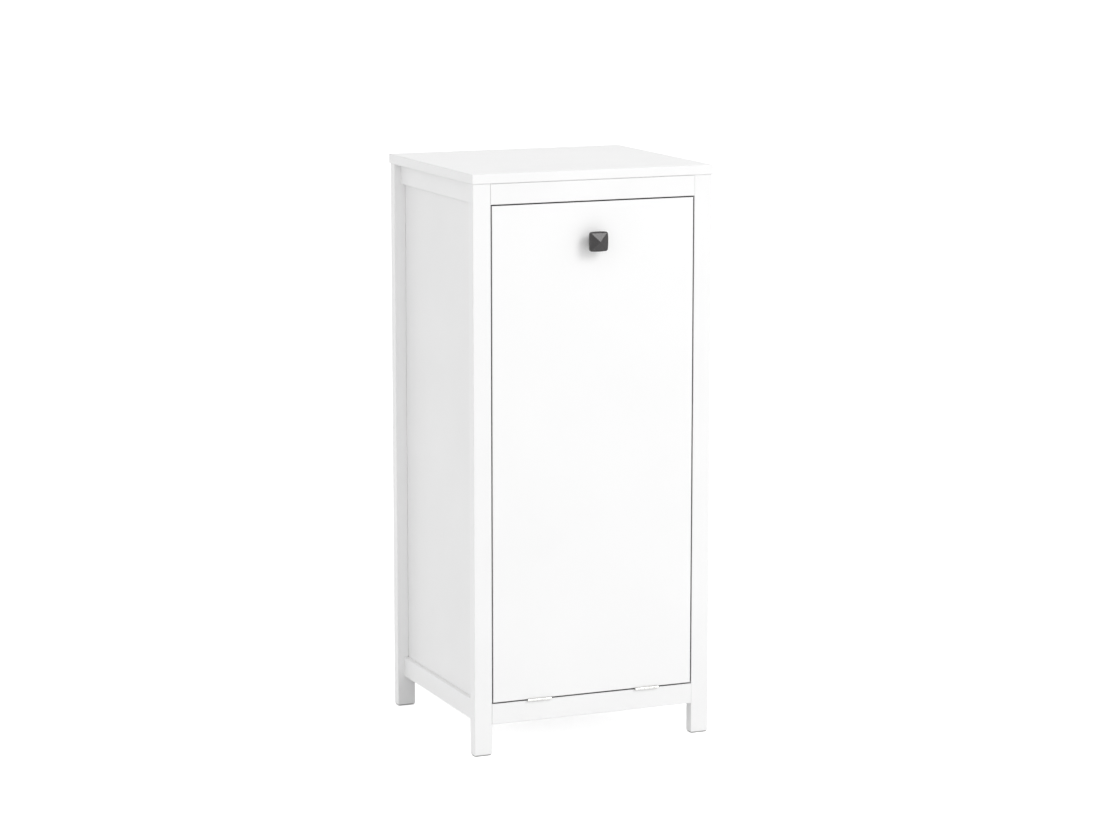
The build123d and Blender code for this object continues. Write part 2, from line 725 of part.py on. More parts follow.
# Wire frame of the bag: a bent rod, a welded cross bar and two upright stop pins
wire_foot_y = socket_floor_y + bore_clearance
cross_bar_y = door_back_y + cross_bar_distance
rear_bar_y = inner_back_y - rear_bar_clearance
stop_pin_x = bag_bar_x - bag_frame_corner_radius - stop_pin_corner_gap
with BuildPart() as bag_frame:
    with BuildLine() as rod:
        FilletPolyline(
            (-bag_bar_x, wire_foot_y, bag_frame_height),
            (-bag_bar_x, rear_bar_y, bag_frame_height),
            (bag_bar_x, rear_bar_y, bag_frame_height),
            (bag_bar_x, wire_foot_y, bag_frame_height),
            radius=bag_frame_corner_radius,
        )
    with BuildSketch(Plane(origin=rod.line @ 0, z_dir=rod.line % 0)):
        Circle(wire_radius)
    sweep(path=rod.line)
    with Locations((0, cross_bar_y, bag_frame_height)):
        Cylinder(cross_bar_radius, 2 * bag_bar_x, rotation=(0, 90, 0))
    with BuildSketch(Plane.XY.offset(bag_frame_height)):
        with Locations((-stop_pin_x, rear_bar_y), (stop_pin_x, rear_bar_y)):
            Circle(stop_pin_radius)
    extrude(amount=stop_pin_height)
bag_frame.part.label = "bag_frame"
export_step(bag_frame.part, "parts/bag_frame.step")

# Rubber caps on the stop pins, which meet the back of the front top rail
pin_head_z = bag_frame_height + stop_pin_height
cap_radius = stop_pin_radius + bore_clearance + cap_wall
cap_foot_z = pin_head_z - cap_length
with BuildPart() as stop_caps:
    with BuildSketch(Plane.XY.offset(cap_foot_z)):
        with Locations((-stop_pin_x, rear_bar_y), (stop_pin_x, rear_bar_y)):
            Circle(cap_radius)
    extrude(amount=cap_length + cap_end)
    chamfer(stop_caps.faces().group_by(Axis.Z)[-1].edges(), cap_wall)
    with BuildSketch(Plane.XY.offset(cap_foot_z)):
        with Locations((-stop_pin_x, rear_bar_y), (stop_pin_x, rear_bar_y)):
            Circle(stop_pin_radius + bore_clearance)
    extrude(amount=cap_length + bore_clearance, mode=Mode.SUBTRACT)
stop_caps.part.label = "stop_caps"
export_step(stop_caps.part, "parts/stop_caps.step")

# Laundry bag, hung in the frame by four sleeves that wrap its bars
mouth_gap = wire_radius + bag_wire_clearance
mouth_width = 2 * (bag_bar_x - mouth_gap)
mouth_depth = rear_bar_y - cross_bar_y - 2 * mouth_gap
mouth_y = (rear_bar_y + cross_bar_y) / 2
mouth_corner_cut = bag_frame_corner_radius - mouth_gap
foot_width = mouth_width - 2 * bag_side_taper
foot_depth = mouth_depth - 2 * bag_end_taper
bag_floor_height = lower_rail_top + bag_floor_gap
sleeve_radius = mouth_gap + bag_wall
straight_x = stop_pin_x - cap_radius - hem_corner_gap / 2
straight_y = mouth_depth / 2 - mouth_corner_cut - hem_corner_gap / 2


def bag_section(level, width, depth, corner_cut):
    """The bag's outline at one level: a rectangle with its corners cut off."""
    with BuildSketch(Plane.XY.offset(level)) as section:
        with Locations((0, mouth_y)):
            Rectangle(width, depth)
        chamfer(section.vertices(), corner_cut)
    return section.sketch


with BuildPart() as laundry_bag:
    loft([
        bag_section(bag_floor_height, foot_width, foot_depth, bag_foot_corner_cut),
        bag_section(bag_frame_height, mouth_width, mouth_depth, mouth_corner_cut),
    ], ruled=True)
    loft([
        bag_section(bag_floor_height + bag_wall, foot_width - 2 * bag_wall,
                    foot_depth - 2 * bag_wall, bag_foot_corner_cut),
        bag_section(bag_frame_height, mouth_width - 2 * bag_wall,
                    mouth_depth - 2 * bag_wall, mouth_corner_cut),
    ], ruled=True, mode=Mode.SUBTRACT)
    with Locations(*[
        (side * mouth_width / 2, mouth_y + end * mouth_depth / 2, bag_frame_height)
        for side in (-1, 1)
        for end in (-1, 1)
    ]):
        Box(mouth_width - 2 * straight_x, mouth_depth - 2 * straight_y, 2 * hem_notch_depth,
            mode=Mode.SUBTRACT)
    with Locations((0, cross_bar_y, bag_frame_height), (0, rear_bar_y, bag_frame_height)):
        Cylinder(sleeve_radius, 2 * straight_x, rotation=(0, 90, 0))
    with Locations((-bag_bar_x, mouth_y, bag_frame_height), (bag_bar_x, mouth_y, bag_frame_height)):
        Cylinder(sleeve_radius, 2 * straight_y, rotation=(90, 0, 0))
    with Locations((0, cross_bar_y, bag_frame_height), (0, rear_bar_y, bag_frame_height)):
        Cylinder(mouth_gap, 3 * straight_x, rotation=(0, 90, 0), mode=Mode.SUBTRACT)
    with Locations((-bag_bar_x, mouth_y, bag_frame_height), (bag_bar_x, mouth_y, bag_frame_height)):
        Cylinder(mouth_gap, 3 * straight_y, rotation=(90, 0, 0), mode=Mode.SUBTRACT)
laundry_bag.part.label = "laundry_bag"
export_step(laundry_bag.part, "parts/laundry_bag.step")

# How far the door tilts before the caps of the stop pins meet the front top rail
cap_reach_y = rear_bar_y - hinge_axis_y
cap_reach_z = pin_head_z + cap_end - cap_wall - hinge_axis_z
stop_reach_y = inner_front_y + cap_radius + stop_clearance - hinge_axis_y
stop_radius = hypot(cap_reach_y, cap_reach_z)
tilt_limit = degrees(atan2(cap_reach_y, cap_reach_z) - asin(stop_reach_y / stop_radius))
print(f"front face y {front_y:.3f}, hinge axis y {hinge_axis_y:.3f} z {hinge_axis_z:.3f}")
print(f"door tilts {tilt_limit:.2f} degrees")
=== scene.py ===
"""Looks of the laundry hamper cabinet: a white lacquered cabinet with a tilt-out door and a cloth bag."""
import json
import math
import bmesh
import bpy
import numpy as np
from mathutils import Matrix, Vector, noise


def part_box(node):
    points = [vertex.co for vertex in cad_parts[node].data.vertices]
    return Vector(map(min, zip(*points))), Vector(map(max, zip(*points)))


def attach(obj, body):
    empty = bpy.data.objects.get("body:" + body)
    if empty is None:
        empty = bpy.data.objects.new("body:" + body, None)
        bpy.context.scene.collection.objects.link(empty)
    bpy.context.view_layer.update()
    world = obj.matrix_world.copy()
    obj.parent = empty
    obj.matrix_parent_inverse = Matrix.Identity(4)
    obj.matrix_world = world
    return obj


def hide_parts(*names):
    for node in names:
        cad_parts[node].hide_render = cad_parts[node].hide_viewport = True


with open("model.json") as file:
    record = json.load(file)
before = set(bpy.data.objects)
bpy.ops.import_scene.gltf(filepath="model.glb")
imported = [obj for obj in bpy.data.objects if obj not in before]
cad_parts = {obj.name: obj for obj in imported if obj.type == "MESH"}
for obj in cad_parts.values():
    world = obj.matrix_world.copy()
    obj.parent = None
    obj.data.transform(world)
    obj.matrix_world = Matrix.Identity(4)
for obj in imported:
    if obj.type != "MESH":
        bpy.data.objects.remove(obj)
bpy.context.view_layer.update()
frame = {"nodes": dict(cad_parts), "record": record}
nodes = frame["nodes"]
scene = bpy.context.scene
mm = 0.001

# Camera: its place, turn and focal length were fitted to the cabinet's corners and the door's gaps
image_width_px = 1100
focal_length_px = 3452.8
sensor_width = 36.0
camera_place = (-2.0879, -4.9600, 1.4239)
camera_yaw = 0.398
camera_pitch = 0.170
camera_data = bpy.data.cameras.new("camera")
camera_data.sensor_fit = "HORIZONTAL"
camera_data.sensor_width = sensor_width
camera_data.lens = focal_length_px / image_width_px * sensor_width
camera = bpy.data.objects.new("camera", camera_data)
camera.location = camera_place
camera.rotation_euler = (math.pi / 2 - camera_pitch, 0, -camera_yaw)
scene.collection.objects.link(camera)
scene.camera = camera
scene.view_settings.view_transform = "Standard"


def linear(hex_colour):
    """An sRGB hex colour as linear red, green, blue and alpha."""
    parts = [int(hex_colour[i:i + 2], 16) / 255 for i in (1, 3, 5)]
    return [p / 12.92 if p <= 0.04045 else ((p + 0.055) / 1.055) ** 2.4 for p in parts] + [1.0]


def per_mm(size):
    """The scale that gives a noise pattern features of this many millimetres."""
    return 1 / (size * mm)


def add(tree, kind, links=None, **settings):
    """Adds a node; links maps an input to a value, or to the output that feeds it."""
    node = tree.nodes.new(kind)
    for name, value in settings.items():
        setattr(node, name, value)
    for socket, value in (links or {}).items():
        if isinstance(value, bpy.types.NodeSocket):
            tree.links.new(value, node.inputs[socket])
        else:
            node.inputs[socket].default_value = value
    return node


def new_material(name):
    """An empty node material and its tree."""
    material = bpy.data.materials.new(name)
    material.use_nodes = True
    material.node_tree.nodes.clear()
    return material, material.node_tree


def finish_material(tree, colour, roughness, normal, **uniform):
    """Ends a material in one surface shader, with its uniform values on the shader's own sockets."""
    shader = add(tree, "ShaderNodeBsdfPrincipled", {
        "Base Color": colour, "Roughness": roughness, "Normal": normal,
    })
    for name, value in uniform.items():
        shader.inputs[name.replace("_", " ")].default_value = value
    add(tree, "ShaderNodeOutputMaterial", {"Surface": shader.outputs[0]})


# Most of a noise pattern lies between these values, so it is spread from them
noise_low = 0.3
noise_high = 0.7

# How far the bevelled normal leans from the true one, as a cosine, on a worn edge and beside it
all_worn = 0.80
none_worn = 0.985


def edge_mask(tree, width, broken_by):
    """The bevelled normal, and how near a point is to a worn edge, from 0 to 1."""
    bevel = add(tree, "ShaderNodeBevel", {"Radius": width * mm}, samples=6)
    normal = add(tree, "ShaderNodeNewGeometry").outputs["Normal"]
    turn = add(tree, "ShaderNodeVectorMath", {0: bevel.outputs[0], 1: normal}, operation="DOT_PRODUCT")
    mask = add(tree, "ShaderNodeMapRange", {
        "Value": turn.outputs["Value"], "From Min": all_worn, "From Max": none_worn,
        "To Min": 1.0, "To Max": 0.0,
    }).outputs[0]
    worn = add(tree, "ShaderNodeMath", {0: mask, 1: broken_by}, operation="MULTIPLY")
    return bevel.outputs[0], worn.outputs[0]


def satin_lacquer(name, colour, shade, thin_edge, peel_size, peel_depth, roughness):
    """White polyurethane lacquer sprayed on board: satin, a faint orange peel, thinner on the arrises, with
    painted shade in inner corners and painted near-black shade in narrow gaps.
    """
    material, tree = new_material(name)
    place = add(tree, "ShaderNodeTexCoord").outputs["Object"]
    cloudy = add(tree, "ShaderNodeTexNoise", {
        "Vector": place, "Scale": per_mm(170.0), "Detail": 2.0,
    }).outputs[0]
    blotches = add(tree, "ShaderNodeTexNoise", {
        "Vector": place, "Scale": per_mm(14.0), "Detail": 2.0,
    }).outputs[0]
    # Real orange peel is about 1 mm across, and is drawn coarser so that it shows
    peel = add(tree, "ShaderNodeTexNoise", {
        "Vector": place, "Scale": per_mm(peel_size), "Detail": 3.0,
    }).outputs[0]
    soft_normal, edge = edge_mask(
        tree, 0.9,
        add(tree, "ShaderNodeMapRange", {
            "Value": blotches, "From Min": noise_low, "From Max": noise_high, "To Min": 0.25, "To Max": 0.8,
        }).outputs[0],
    )
    body = add(tree, "ShaderNodeMix", {
        0: add(tree, "ShaderNodeMapRange", {
            "Value": cloudy, "From Min": noise_low, "From Max": noise_high, "To Min": 0.0, "To Max": 1.0,
        }).outputs[0],
        6: linear(colour), 7: linear(shade),
    }, data_type="RGBA").outputs[2]
    # Painted shade: ambient occlusion greys the paint a little near other parts, in inner corners and round
    # the knob
    corner = add(tree, "ShaderNodeAmbientOcclusion", {"Distance": 14 * mm}, samples=6)
    # The mix below paints this corner shade over the board's own tone
    held = add(tree, "ShaderNodeMix", {
        0: add(tree, "ShaderNodeMapRange", {
            "Value": corner.outputs["AO"], "From Min": 0.2, "From Max": 0.8, "To Min": 0.10, "To Max": 0.0,
        }).outputs[0],
        6: body, 7: linear("#dcdcdb"),
    }, data_type="RGBA").outputs[2]
    painted = add(tree, "ShaderNodeMix", {
        0: edge, 6: held, 7: linear(thin_edge),
    }, data_type="RGBA").outputs[2]
    # Painted shade: ambient occlusion turns the paint nearly black deep in a gap of 2 mm, where shade falls
    gap_shade_ao = add(tree, "ShaderNodeAmbientOcclusion", {"Distance": 5 * mm}, samples=8)
    # The mix below paints this near-black gap shade over the paint
    deep = add(tree, "ShaderNodeMix", {
        0: add(tree, "ShaderNodeMapRange", {
            "Value": gap_shade_ao.outputs["AO"], "From Min": 0.16, "From Max": 0.40, "To Min": 0.92, "To Max": 0.0,
        }).outputs[0],
        6: painted, 7: linear("#35332f"),
    }, data_type="RGBA").outputs[2]
    gloss = add(tree, "ShaderNodeMapRange", {
        "Value": blotches, "From Min": noise_low, "From Max": noise_high, "To Min": roughness - 0.04,
        "To Max": roughness + 0.05,
    }).outputs[0]
    bump = add(tree, "ShaderNodeBump", {
        "Strength": 0.35, "Distance": peel_depth * mm, "Height": peel, "Normal": soft_normal,
    })
    finish_material(tree, deep, gloss, bump.outputs[0], IOR=1.49, Coat_Weight=0.12, Coat_Roughness=0.3)
    return material


def black_casting(name):
    """Die-cast zinc with a satin black lacquer over a metallic ground: dark, softly shining facets."""
    material, tree = new_material(name)
    place = add(tree, "ShaderNodeTexCoord").outputs["Object"]
    # The grain of a real casting is finer, and is drawn coarser so that it shows
    grain = add(tree, "ShaderNodeTexNoise", {
        "Vector": place, "Scale": per_mm(1.1), "Detail": 3.0,
    }).outputs[0]
    cloud = add(tree, "ShaderNodeTexNoise", {
        "Vector": place, "Scale": per_mm(9.0), "Detail": 2.0,
    }).outputs[0]
    soft_normal, edge = edge_mask(
        tree, 0.5,
        add(tree, "ShaderNodeMapRange", {
            "Value": cloud, "From Min": noise_low, "From Max": noise_high, "To Min": 0.3, "To Max": 0.9,
        }).outputs[0],
    )
    ground = add(tree, "ShaderNodeMix", {
        0: add(tree, "ShaderNodeMapRange", {
            "Value": cloud, "From Min": noise_low, "From Max": noise_high, "To Min": 0.0, "To Max": 1.0,
        }).outputs[0],
        6: linear("#282627"), 7: linear("#312f30"),
    }, data_type="RGBA").outputs[2]
    colour = add(tree, "ShaderNodeMix", {
        0: edge, 6: ground, 7: linear("#4a4849"),
    }, data_type="RGBA").outputs[2]
    bump = add(tree, "ShaderNodeBump", {
        "Strength": 0.25, "Distance": 0.03 * mm, "Height": grain, "Normal": soft_normal,
    })
    finish_material(
        tree, colour,
        add(tree, "ShaderNodeMapRange", {
            "Value": grain, "From Min": noise_low, "From Max": noise_high, "To Min": 0.24, "To Max": 0.34,
        }).outputs[0],
        bump.outputs[0], Metallic=0.35, IOR=1.5, Coat_Weight=0.35, Coat_Roughness=0.2,
    )
    return material


def plated_metal(name, colour, shade, roughness, streak, grain_depth):
    """Plated steel: bright metal with fine drawing lines along one axis and slightly clouded plating."""
    material, tree = new_material(name)
    place = add(tree, "ShaderNodeTexCoord").outputs["Object"]
    stretched = add(tree, "ShaderNodeMapping", {"Vector": place, "Scale": streak})
    # Real drawing lines are finer, and are made coarser so that they show
    lines = add(tree, "ShaderNodeTexNoise", {
        "Vector": stretched.outputs[0], "Scale": per_mm(0.9), "Detail": 3.0,
    }).outputs[0]
    cloud = add(tree, "ShaderNodeTexNoise", {
        "Vector": place, "Scale": per_mm(5.0), "Detail": 2.0,
    }).outputs[0]
    soft_normal, edge = edge_mask(
        tree, 0.3,
        add(tree, "ShaderNodeMapRange", {
            "Value": cloud, "From Min": noise_low, "From Max": noise_high, "To Min": 0.3, "To Max": 0.8,
        }).outputs[0],
    )
    plating = add(tree, "ShaderNodeMix", {
        0: add(tree, "ShaderNodeMapRange", {
            "Value": cloud, "From Min": noise_low, "From Max": noise_high, "To Min": 0.0, "To Max": 1.0,
        }).outputs[0],
        6: linear(colour), 7: linear(shade),
    }, data_type="RGBA").outputs[2]
    rubbed = add(tree, "ShaderNodeMix", {
        0: edge, 6: plating, 7: linear("#f0efec"),
    }, data_type="RGBA").outputs[2]
    bump = add(tree, "ShaderNodeBump", {
        "Strength": 0.3, "Distance": grain_depth * mm, "Height": lines, "Normal": soft_normal,
    })
    finish_material(
        tree, rubbed,
        add(tree, "ShaderNodeMapRange", {
            "Value": lines, "From Min": noise_low, "From Max": noise_high, "To Min": roughness - 0.06,
            "To Max": roughness + 0.10,
        }).outputs[0],
        bump.outputs[0], Metallic=1.0,
    )
    return material


def cast_zinc(name):
    """Raw die-cast zinc of the cams: dull grey with flow marks and a pebbled skin."""
    material, tree = new_material(name)
    place = add(tree, "ShaderNodeTexCoord").outputs["Object"]
    flow = add(tree, "ShaderNodeTexNoise", {
        "Vector": place, "Scale": per_mm(4.0), "Detail": 4.0,
    }).outputs[0]
    pebble = add(tree, "ShaderNodeTexNoise", {
        "Vector": place, "Scale": per_mm(0.8), "Detail": 2.0,
    }).outputs[0]
    colour = add(tree, "ShaderNodeMix", {
        0: add(tree, "ShaderNodeMapRange", {
            "Value": flow, "From Min": noise_low, "From Max": noise_high, "To Min": 0.0, "To Max": 1.0,
        }).outputs[0],
        6: linear("#8f9092"), 7: linear("#a9aaab"),
    }, data_type="RGBA").outputs[2]
    bump = add(tree, "ShaderNodeBump", {"Strength": 0.5, "Distance": 0.08 * mm, "Height": pebble})
    finish_material(
        tree, colour,
        add(tree, "ShaderNodeMapRange", {
            "Value": flow, "From Min": noise_low, "From Max": noise_high, "To Min": 0.42, "To Max": 0.58,
        }).outputs[0],
        bump.outputs[0], Metallic=0.9,
    )
    return material


def moulded_plastic(name, colour, shade, roughness, pebble_size):
    """Injection-moulded plastic with a spark-eroded skin: even colour and a soft sheen."""
    material, tree = new_material(name)
    place = add(tree, "ShaderNodeTexCoord").outputs["Object"]
    pebble = add(tree, "ShaderNodeTexNoise", {
        "Vector": place, "Scale": per_mm(pebble_size), "Detail": 2.0,
    }).outputs[0]
    cloud = add(tree, "ShaderNodeTexNoise", {
        "Vector": place, "Scale": per_mm(22.0), "Detail": 2.0,
    }).outputs[0]
    soft_normal, edge = edge_mask(
        tree, 0.5,
        add(tree, "ShaderNodeMapRange", {
            "Value": cloud, "From Min": noise_low, "From Max": noise_high, "To Min": 0.2, "To Max": 0.6,
        }).outputs[0],
    )
    body = add(tree, "ShaderNodeMix", {
        0: add(tree, "ShaderNodeMapRange", {
            "Value": cloud, "From Min": noise_low, "From Max": noise_high, "To Min": 0.0, "To Max": 1.0,
        }).outputs[0],
        6: linear(colour), 7: linear(shade),
    }, data_type="RGBA").outputs[2]
    scuffed = add(tree, "ShaderNodeMix", {0: edge, 6: body, 7: linear(shade)}, data_type="RGBA").outputs[2]
    bump = add(tree, "ShaderNodeBump", {
        "Strength": 0.35, "Distance": 0.04 * mm, "Height": pebble, "Normal": soft_normal,
    })
    finish_material(
        tree, scuffed,
        add(tree, "ShaderNodeMapRange", {
            "Value": pebble, "From Min": noise_low, "From Max": noise_high, "To Min": roughness - 0.05,
            "To Max": roughness + 0.06,
        }).outputs[0],
        bump.outputs[0], IOR=1.46,
    )
    return material


def powder_coat(name):
    """White epoxy powder coat baked on steel rod: glossier than the lacquer, with a wavy skin."""
    material, tree = new_material(name)
    place = add(tree, "ShaderNodeTexCoord").outputs["Object"]
    wave = add(tree, "ShaderNodeTexNoise", {
        "Vector": place, "Scale": per_mm(2.2), "Detail": 2.0,
    }).outputs[0]
    cloud = add(tree, "ShaderNodeTexNoise", {
        "Vector": place, "Scale": per_mm(40.0), "Detail": 2.0,
    }).outputs[0]
    colour = add(tree, "ShaderNodeMix", {
        0: add(tree, "ShaderNodeMapRange", {
            "Value": cloud, "From Min": noise_low, "From Max": noise_high, "To Min": 0.0, "To Max": 1.0,
        }).outputs[0],
        6: linear("#efefec"), 7: linear("#e7e6e2"),
    }, data_type="RGBA").outputs[2]
    bump = add(tree, "ShaderNodeBump", {"Strength": 0.4, "Distance": 0.05 * mm, "Height": wave})
    finish_material(
        tree, colour,
        add(tree, "ShaderNodeMapRange", {
            "Value": wave, "From Min": noise_low, "From Max": noise_high, "To Min": 0.24, "To Max": 0.34,
        }).outputs[0],
        bump.outputs[0], IOR=1.52, Coat_Weight=0.3, Coat_Roughness=0.15,
    )
    return material


def rubber(name):
    """Black moulded rubber: matt, with a dusty bloom."""
    material, tree = new_material(name)
    place = add(tree, "ShaderNodeTexCoord").outputs["Object"]
    bloom = add(tree, "ShaderNodeTexNoise", {
        "Vector": place, "Scale": per_mm(3.0), "Detail": 4.0,
    }).outputs[0]
    colour = add(tree, "ShaderNodeMix", {
        0: add(tree, "ShaderNodeMapRange", {
            "Value": bloom, "From Min": noise_low, "From Max": noise_high, "To Min": 0.0, "To Max": 1.0,
        }).outputs[0],
        6: linear("#1c1c1c"), 7: linear("#2b2a29"),
    }, data_type="RGBA").outputs[2]
    bump = add(tree, "ShaderNodeBump", {"Strength": 0.4, "Distance": 0.05 * mm, "Height": bloom})
    finish_material(
        tree, colour,
        add(tree, "ShaderNodeMapRange", {
            "Value": bloom, "From Min": noise_low, "From Max": noise_high, "To Min": 0.70, "To Max": 0.85,
        }).outputs[0],
        bump.outputs[0], IOR=1.52,
    )
    return material


def sintered_magnet(name):
    """Ferrite magnet: charcoal grey, pressed and ground, with fine pits."""
    material, tree = new_material(name)
    place = add(tree, "ShaderNodeTexCoord").outputs["Object"]
    pits = add(tree, "ShaderNodeTexNoise", {
        "Vector": place, "Scale": per_mm(0.9), "Detail": 4.0,
    }).outputs[0]
    colour = add(tree, "ShaderNodeMix", {
        0: add(tree, "ShaderNodeMapRange", {
            "Value": pits, "From Min": noise_low, "From Max": noise_high, "To Min": 0.0, "To Max": 1.0,
        }).outputs[0],
        6: linear("#2e2f30"), 7: linear("#434446"),
    }, data_type="RGBA").outputs[2]
    bump = add(tree, "ShaderNodeBump", {"Strength": 0.6, "Distance": 0.08 * mm, "Height": pits})
    finish_material(
        tree, colour,
        add(tree, "ShaderNodeMapRange", {
            "Value": pits, "From Min": noise_low, "From Max": noise_high, "To Min": 0.45, "To Max": 0.65,
        }).outputs[0],
        bump.outputs[0], Metallic=0.3,
    )
    return material


def woven_cloth(name, colour, shade, thread_spacing):
    """Plain-woven cotton and polyester cloth, seen as crossing threads with thick and thin places, with
    painted shade in the hollows between the threads.
    """
    material, tree = new_material(name)
    flat = add(tree, "ShaderNodeTexCoord").outputs["UV"]
    along = add(tree, "ShaderNodeSeparateXYZ", {0: flat})
    # Real threads lie closer together, and are drawn coarser so that they show
    half_turn = math.pi / (thread_spacing * mm)

    def wave(axis, operation):
        """One set of threads as a wave across them."""
        angle = add(tree, "ShaderNodeMath", {0: along.outputs[axis], 1: half_turn}, operation="MULTIPLY")
        sine = add(tree, "ShaderNodeMath", {0: angle.outputs[0]}, operation="SINE")
        if operation is None:
            return sine.outputs[0]
        return add(tree, "ShaderNodeMath", {0: sine.outputs[0]}, operation=operation).outputs[0]

    over = add(tree, "ShaderNodeMath", {0: wave("X", None), 1: wave("Y", None)}, operation="MULTIPLY")
    warp_on_top = add(tree, "ShaderNodeMapRange", {
        "Value": over.outputs[0], "From Min": -0.3, "From Max": 0.3, "To Min": 0.0, "To Max": 1.0,
    }).outputs[0]
    threads = add(tree, "ShaderNodeMix", {
        0: warp_on_top, 2: wave("X", "ABSOLUTE"), 3: wave("Y", "ABSOLUTE"),
    }, data_type="FLOAT").outputs[0]
    warp = add(tree, "ShaderNodeMapping", {"Vector": flat, "Scale": (1.0, 0.06, 1.0)})
    weft = add(tree, "ShaderNodeMapping", {"Vector": flat, "Scale": (0.06, 1.0, 1.0)})
    slub = add(tree, "ShaderNodeMath", {
        0: add(tree, "ShaderNodeTexNoise", {
            "Vector": warp.outputs[0], "Scale": per_mm(1.6), "Detail": 3.0,
        }).outputs[0],
        1: add(tree, "ShaderNodeTexNoise", {
            "Vector": weft.outputs[0], "Scale": per_mm(1.9), "Detail": 3.0,
        }).outputs[0],
    }, operation="ADD").outputs[0]
    cloud = add(tree, "ShaderNodeTexNoise", {
        "Vector": flat, "Scale": per_mm(60.0), "Detail": 2.0,
    }).outputs[0]
    yarn = add(tree, "ShaderNodeMix", {
        0: add(tree, "ShaderNodeMapRange", {
            "Value": slub, "From Min": 0.75, "From Max": 1.25, "To Min": 0.0, "To Max": 1.0,
        }).outputs[0],
        6: linear(colour), 7: linear(shade),
    }, data_type="RGBA").outputs[2]
    # Painted shade: the hollows between the threads are darkened towards grey-brown
    hollow = add(tree, "ShaderNodeMix", {
        0: add(tree, "ShaderNodeMapRange", {
            "Value": threads, "From Min": 0.0, "From Max": 0.6, "To Min": 0.55, "To Max": 0.0,
        }).outputs[0],
        6: yarn, 7: linear("#a39a8a"),
    }, data_type="RGBA").outputs[2]
    colour_out = add(tree, "ShaderNodeMix", {
        0: add(tree, "ShaderNodeMapRange", {
            "Value": cloud, "From Min": noise_low, "From Max": noise_high, "To Min": 0.0, "To Max": 0.18,
        }).outputs[0],
        6: hollow, 7: linear("#cfc6b6"),
    }, data_type="RGBA").outputs[2]
    height = add(tree, "ShaderNodeMath", {0: threads, 1: slub}, operation="ADD").outputs[0]
    bump = add(tree, "ShaderNodeBump", {"Strength": 0.55, "Distance": 0.25 * mm, "Height": height})
    finish_material(
        tree, colour_out,
        add(tree, "ShaderNodeMapRange", {
            "Value": slub, "From Min": 0.75, "From Max": 1.25, "To Min": 0.78, "To Max": 0.9,
        }).outputs[0],
        bump.outputs[0], IOR=1.5, Sheen_Weight=0.25, Sheen_Roughness=0.5,
    )
    return material


# The finish of every piece. The painted boards differ a little in tone, as separate boards do
board = satin_lacquer("white_satin_lacquer_on_board", "#f8f8f8", "#f5f5f5", "#efefee",
                      peel_size=5.0, peel_depth=0.05, roughness=0.36)
panel = satin_lacquer("white_satin_lacquer_on_thin_board", "#f6f6f6", "#f3f3f3", "#ededec",
                      peel_size=3.6, peel_depth=0.04, roughness=0.40)
door_face = satin_lacquer("white_satin_lacquer_on_door", "#f9f9f9", "#f7f7f7", "#f0f0ef",
                          peel_size=5.4, peel_depth=0.05, roughness=0.34)
knob_finish = black_casting("black_lacquered_zinc_casting")
nickel = plated_metal("nickel_plated_steel", "#dededc", "#cfcfcc",
                      roughness=0.26, streak=(0.12, 1.0, 1.0), grain_depth=0.02)
zinc = plated_metal("bright_zinc_plated_steel", "#cfd2d6", "#bdc1c6",
                    roughness=0.32, streak=(1.0, 1.0, 0.3), grain_depth=0.02)
cam_zinc = cast_zinc("raw_die_cast_zinc")
white_abs = moulded_plastic("white_moulded_abs", "#ebebe8", "#e0dfdb", roughness=0.42, pebble_size=1.2)
# Painted shade: the glides are given the grey of the thin shadow line under the feet
glide_shade_grey = moulded_plastic("grey_polyethylene_glide_painted_shade", "#b4b4b2", "#a5a5a3", roughness=0.55, pebble_size=1.6)
rod_coat = powder_coat("white_powder_coated_rod")
cap_rubber = rubber("black_moulded_rubber")
ferrite = sintered_magnet("sintered_ferrite")
bag_cloth = woven_cloth("woven_cotton_polyester", "#e2dac9", "#d5ccb9", thread_spacing=1.7)
seam_thread = woven_cloth("twisted_polyester_thread", "#efe9dc", "#e2dac9", thread_spacing=0.6)

finishes = {
    "painted_board": board,
    "painted_panel": panel,
    "zinc_fitting": cam_zinc,
    "plated_steel": zinc,
    "hinge_steel": nickel,
    "black_knob": knob_finish,
    "coated_wire": rod_coat,
    "white_plastic": white_abs,
    "glide_plastic": glide_shade_grey,
    "magnet": ferrite,
    "cap_rubber": cap_rubber,
    "bag_cloth": bag_cloth,
}


def dress(piece, material):
    """Gives a piece one material in every slot."""
    piece.data.materials.clear()
    piece.data.materials.append(material)


for subpart in frame["record"]["subparts"]:
    dress(nodes[subpart["node"]], finishes[subpart["material_slot"]])
dress(nodes["door_panel"], door_face)


def new_piece(name, mesh, body, material, stands_for):
    """A finished piece: named, dressed, carried by a body and standing for a CAD node."""
    piece = bpy.data.objects.new(name, mesh)
    scene.collection.objects.link(piece)
    dress(piece, material)
    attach(piece, body)
    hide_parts(stands_for)
    return piece


def shade(mesh, angle_degrees):
    """Smooth shading with edges kept sharp past an angle."""
    mesh.polygons.foreach_set("use_smooth", [True] * len(mesh.polygons))
    mesh.set_sharp_from_angle(angle=math.radians(angle_degrees))
    return mesh


def sized_tree(name, sizes):
    """A Geometry Nodes tree with a named input for each size, and the sockets of its inputs."""
    tree = bpy.data.node_groups.new(name, "GeometryNodeTree")
    tree.interface.new_socket("Places", in_out="INPUT", socket_type="NodeSocketGeometry")
    for size_name, kind in sizes.items():
        tree.interface.new_socket(size_name, in_out="INPUT", socket_type="NodeSocket" + kind)
    tree.interface.new_socket("Result", in_out="OUTPUT", socket_type="NodeSocketGeometry")
    return tree, add(tree, "NodeGroupInput").outputs


def finish_tree(tree, instances, finish):
    """Ends a tree in real geometry with its material."""
    real = add(tree, "GeometryNodeRealizeInstances", {0: instances})
    painted = add(tree, "GeometryNodeSetMaterial", {0: real.outputs[0], "Material": finish})
    add(tree, "NodeGroupOutput", {0: painted.outputs[0]})


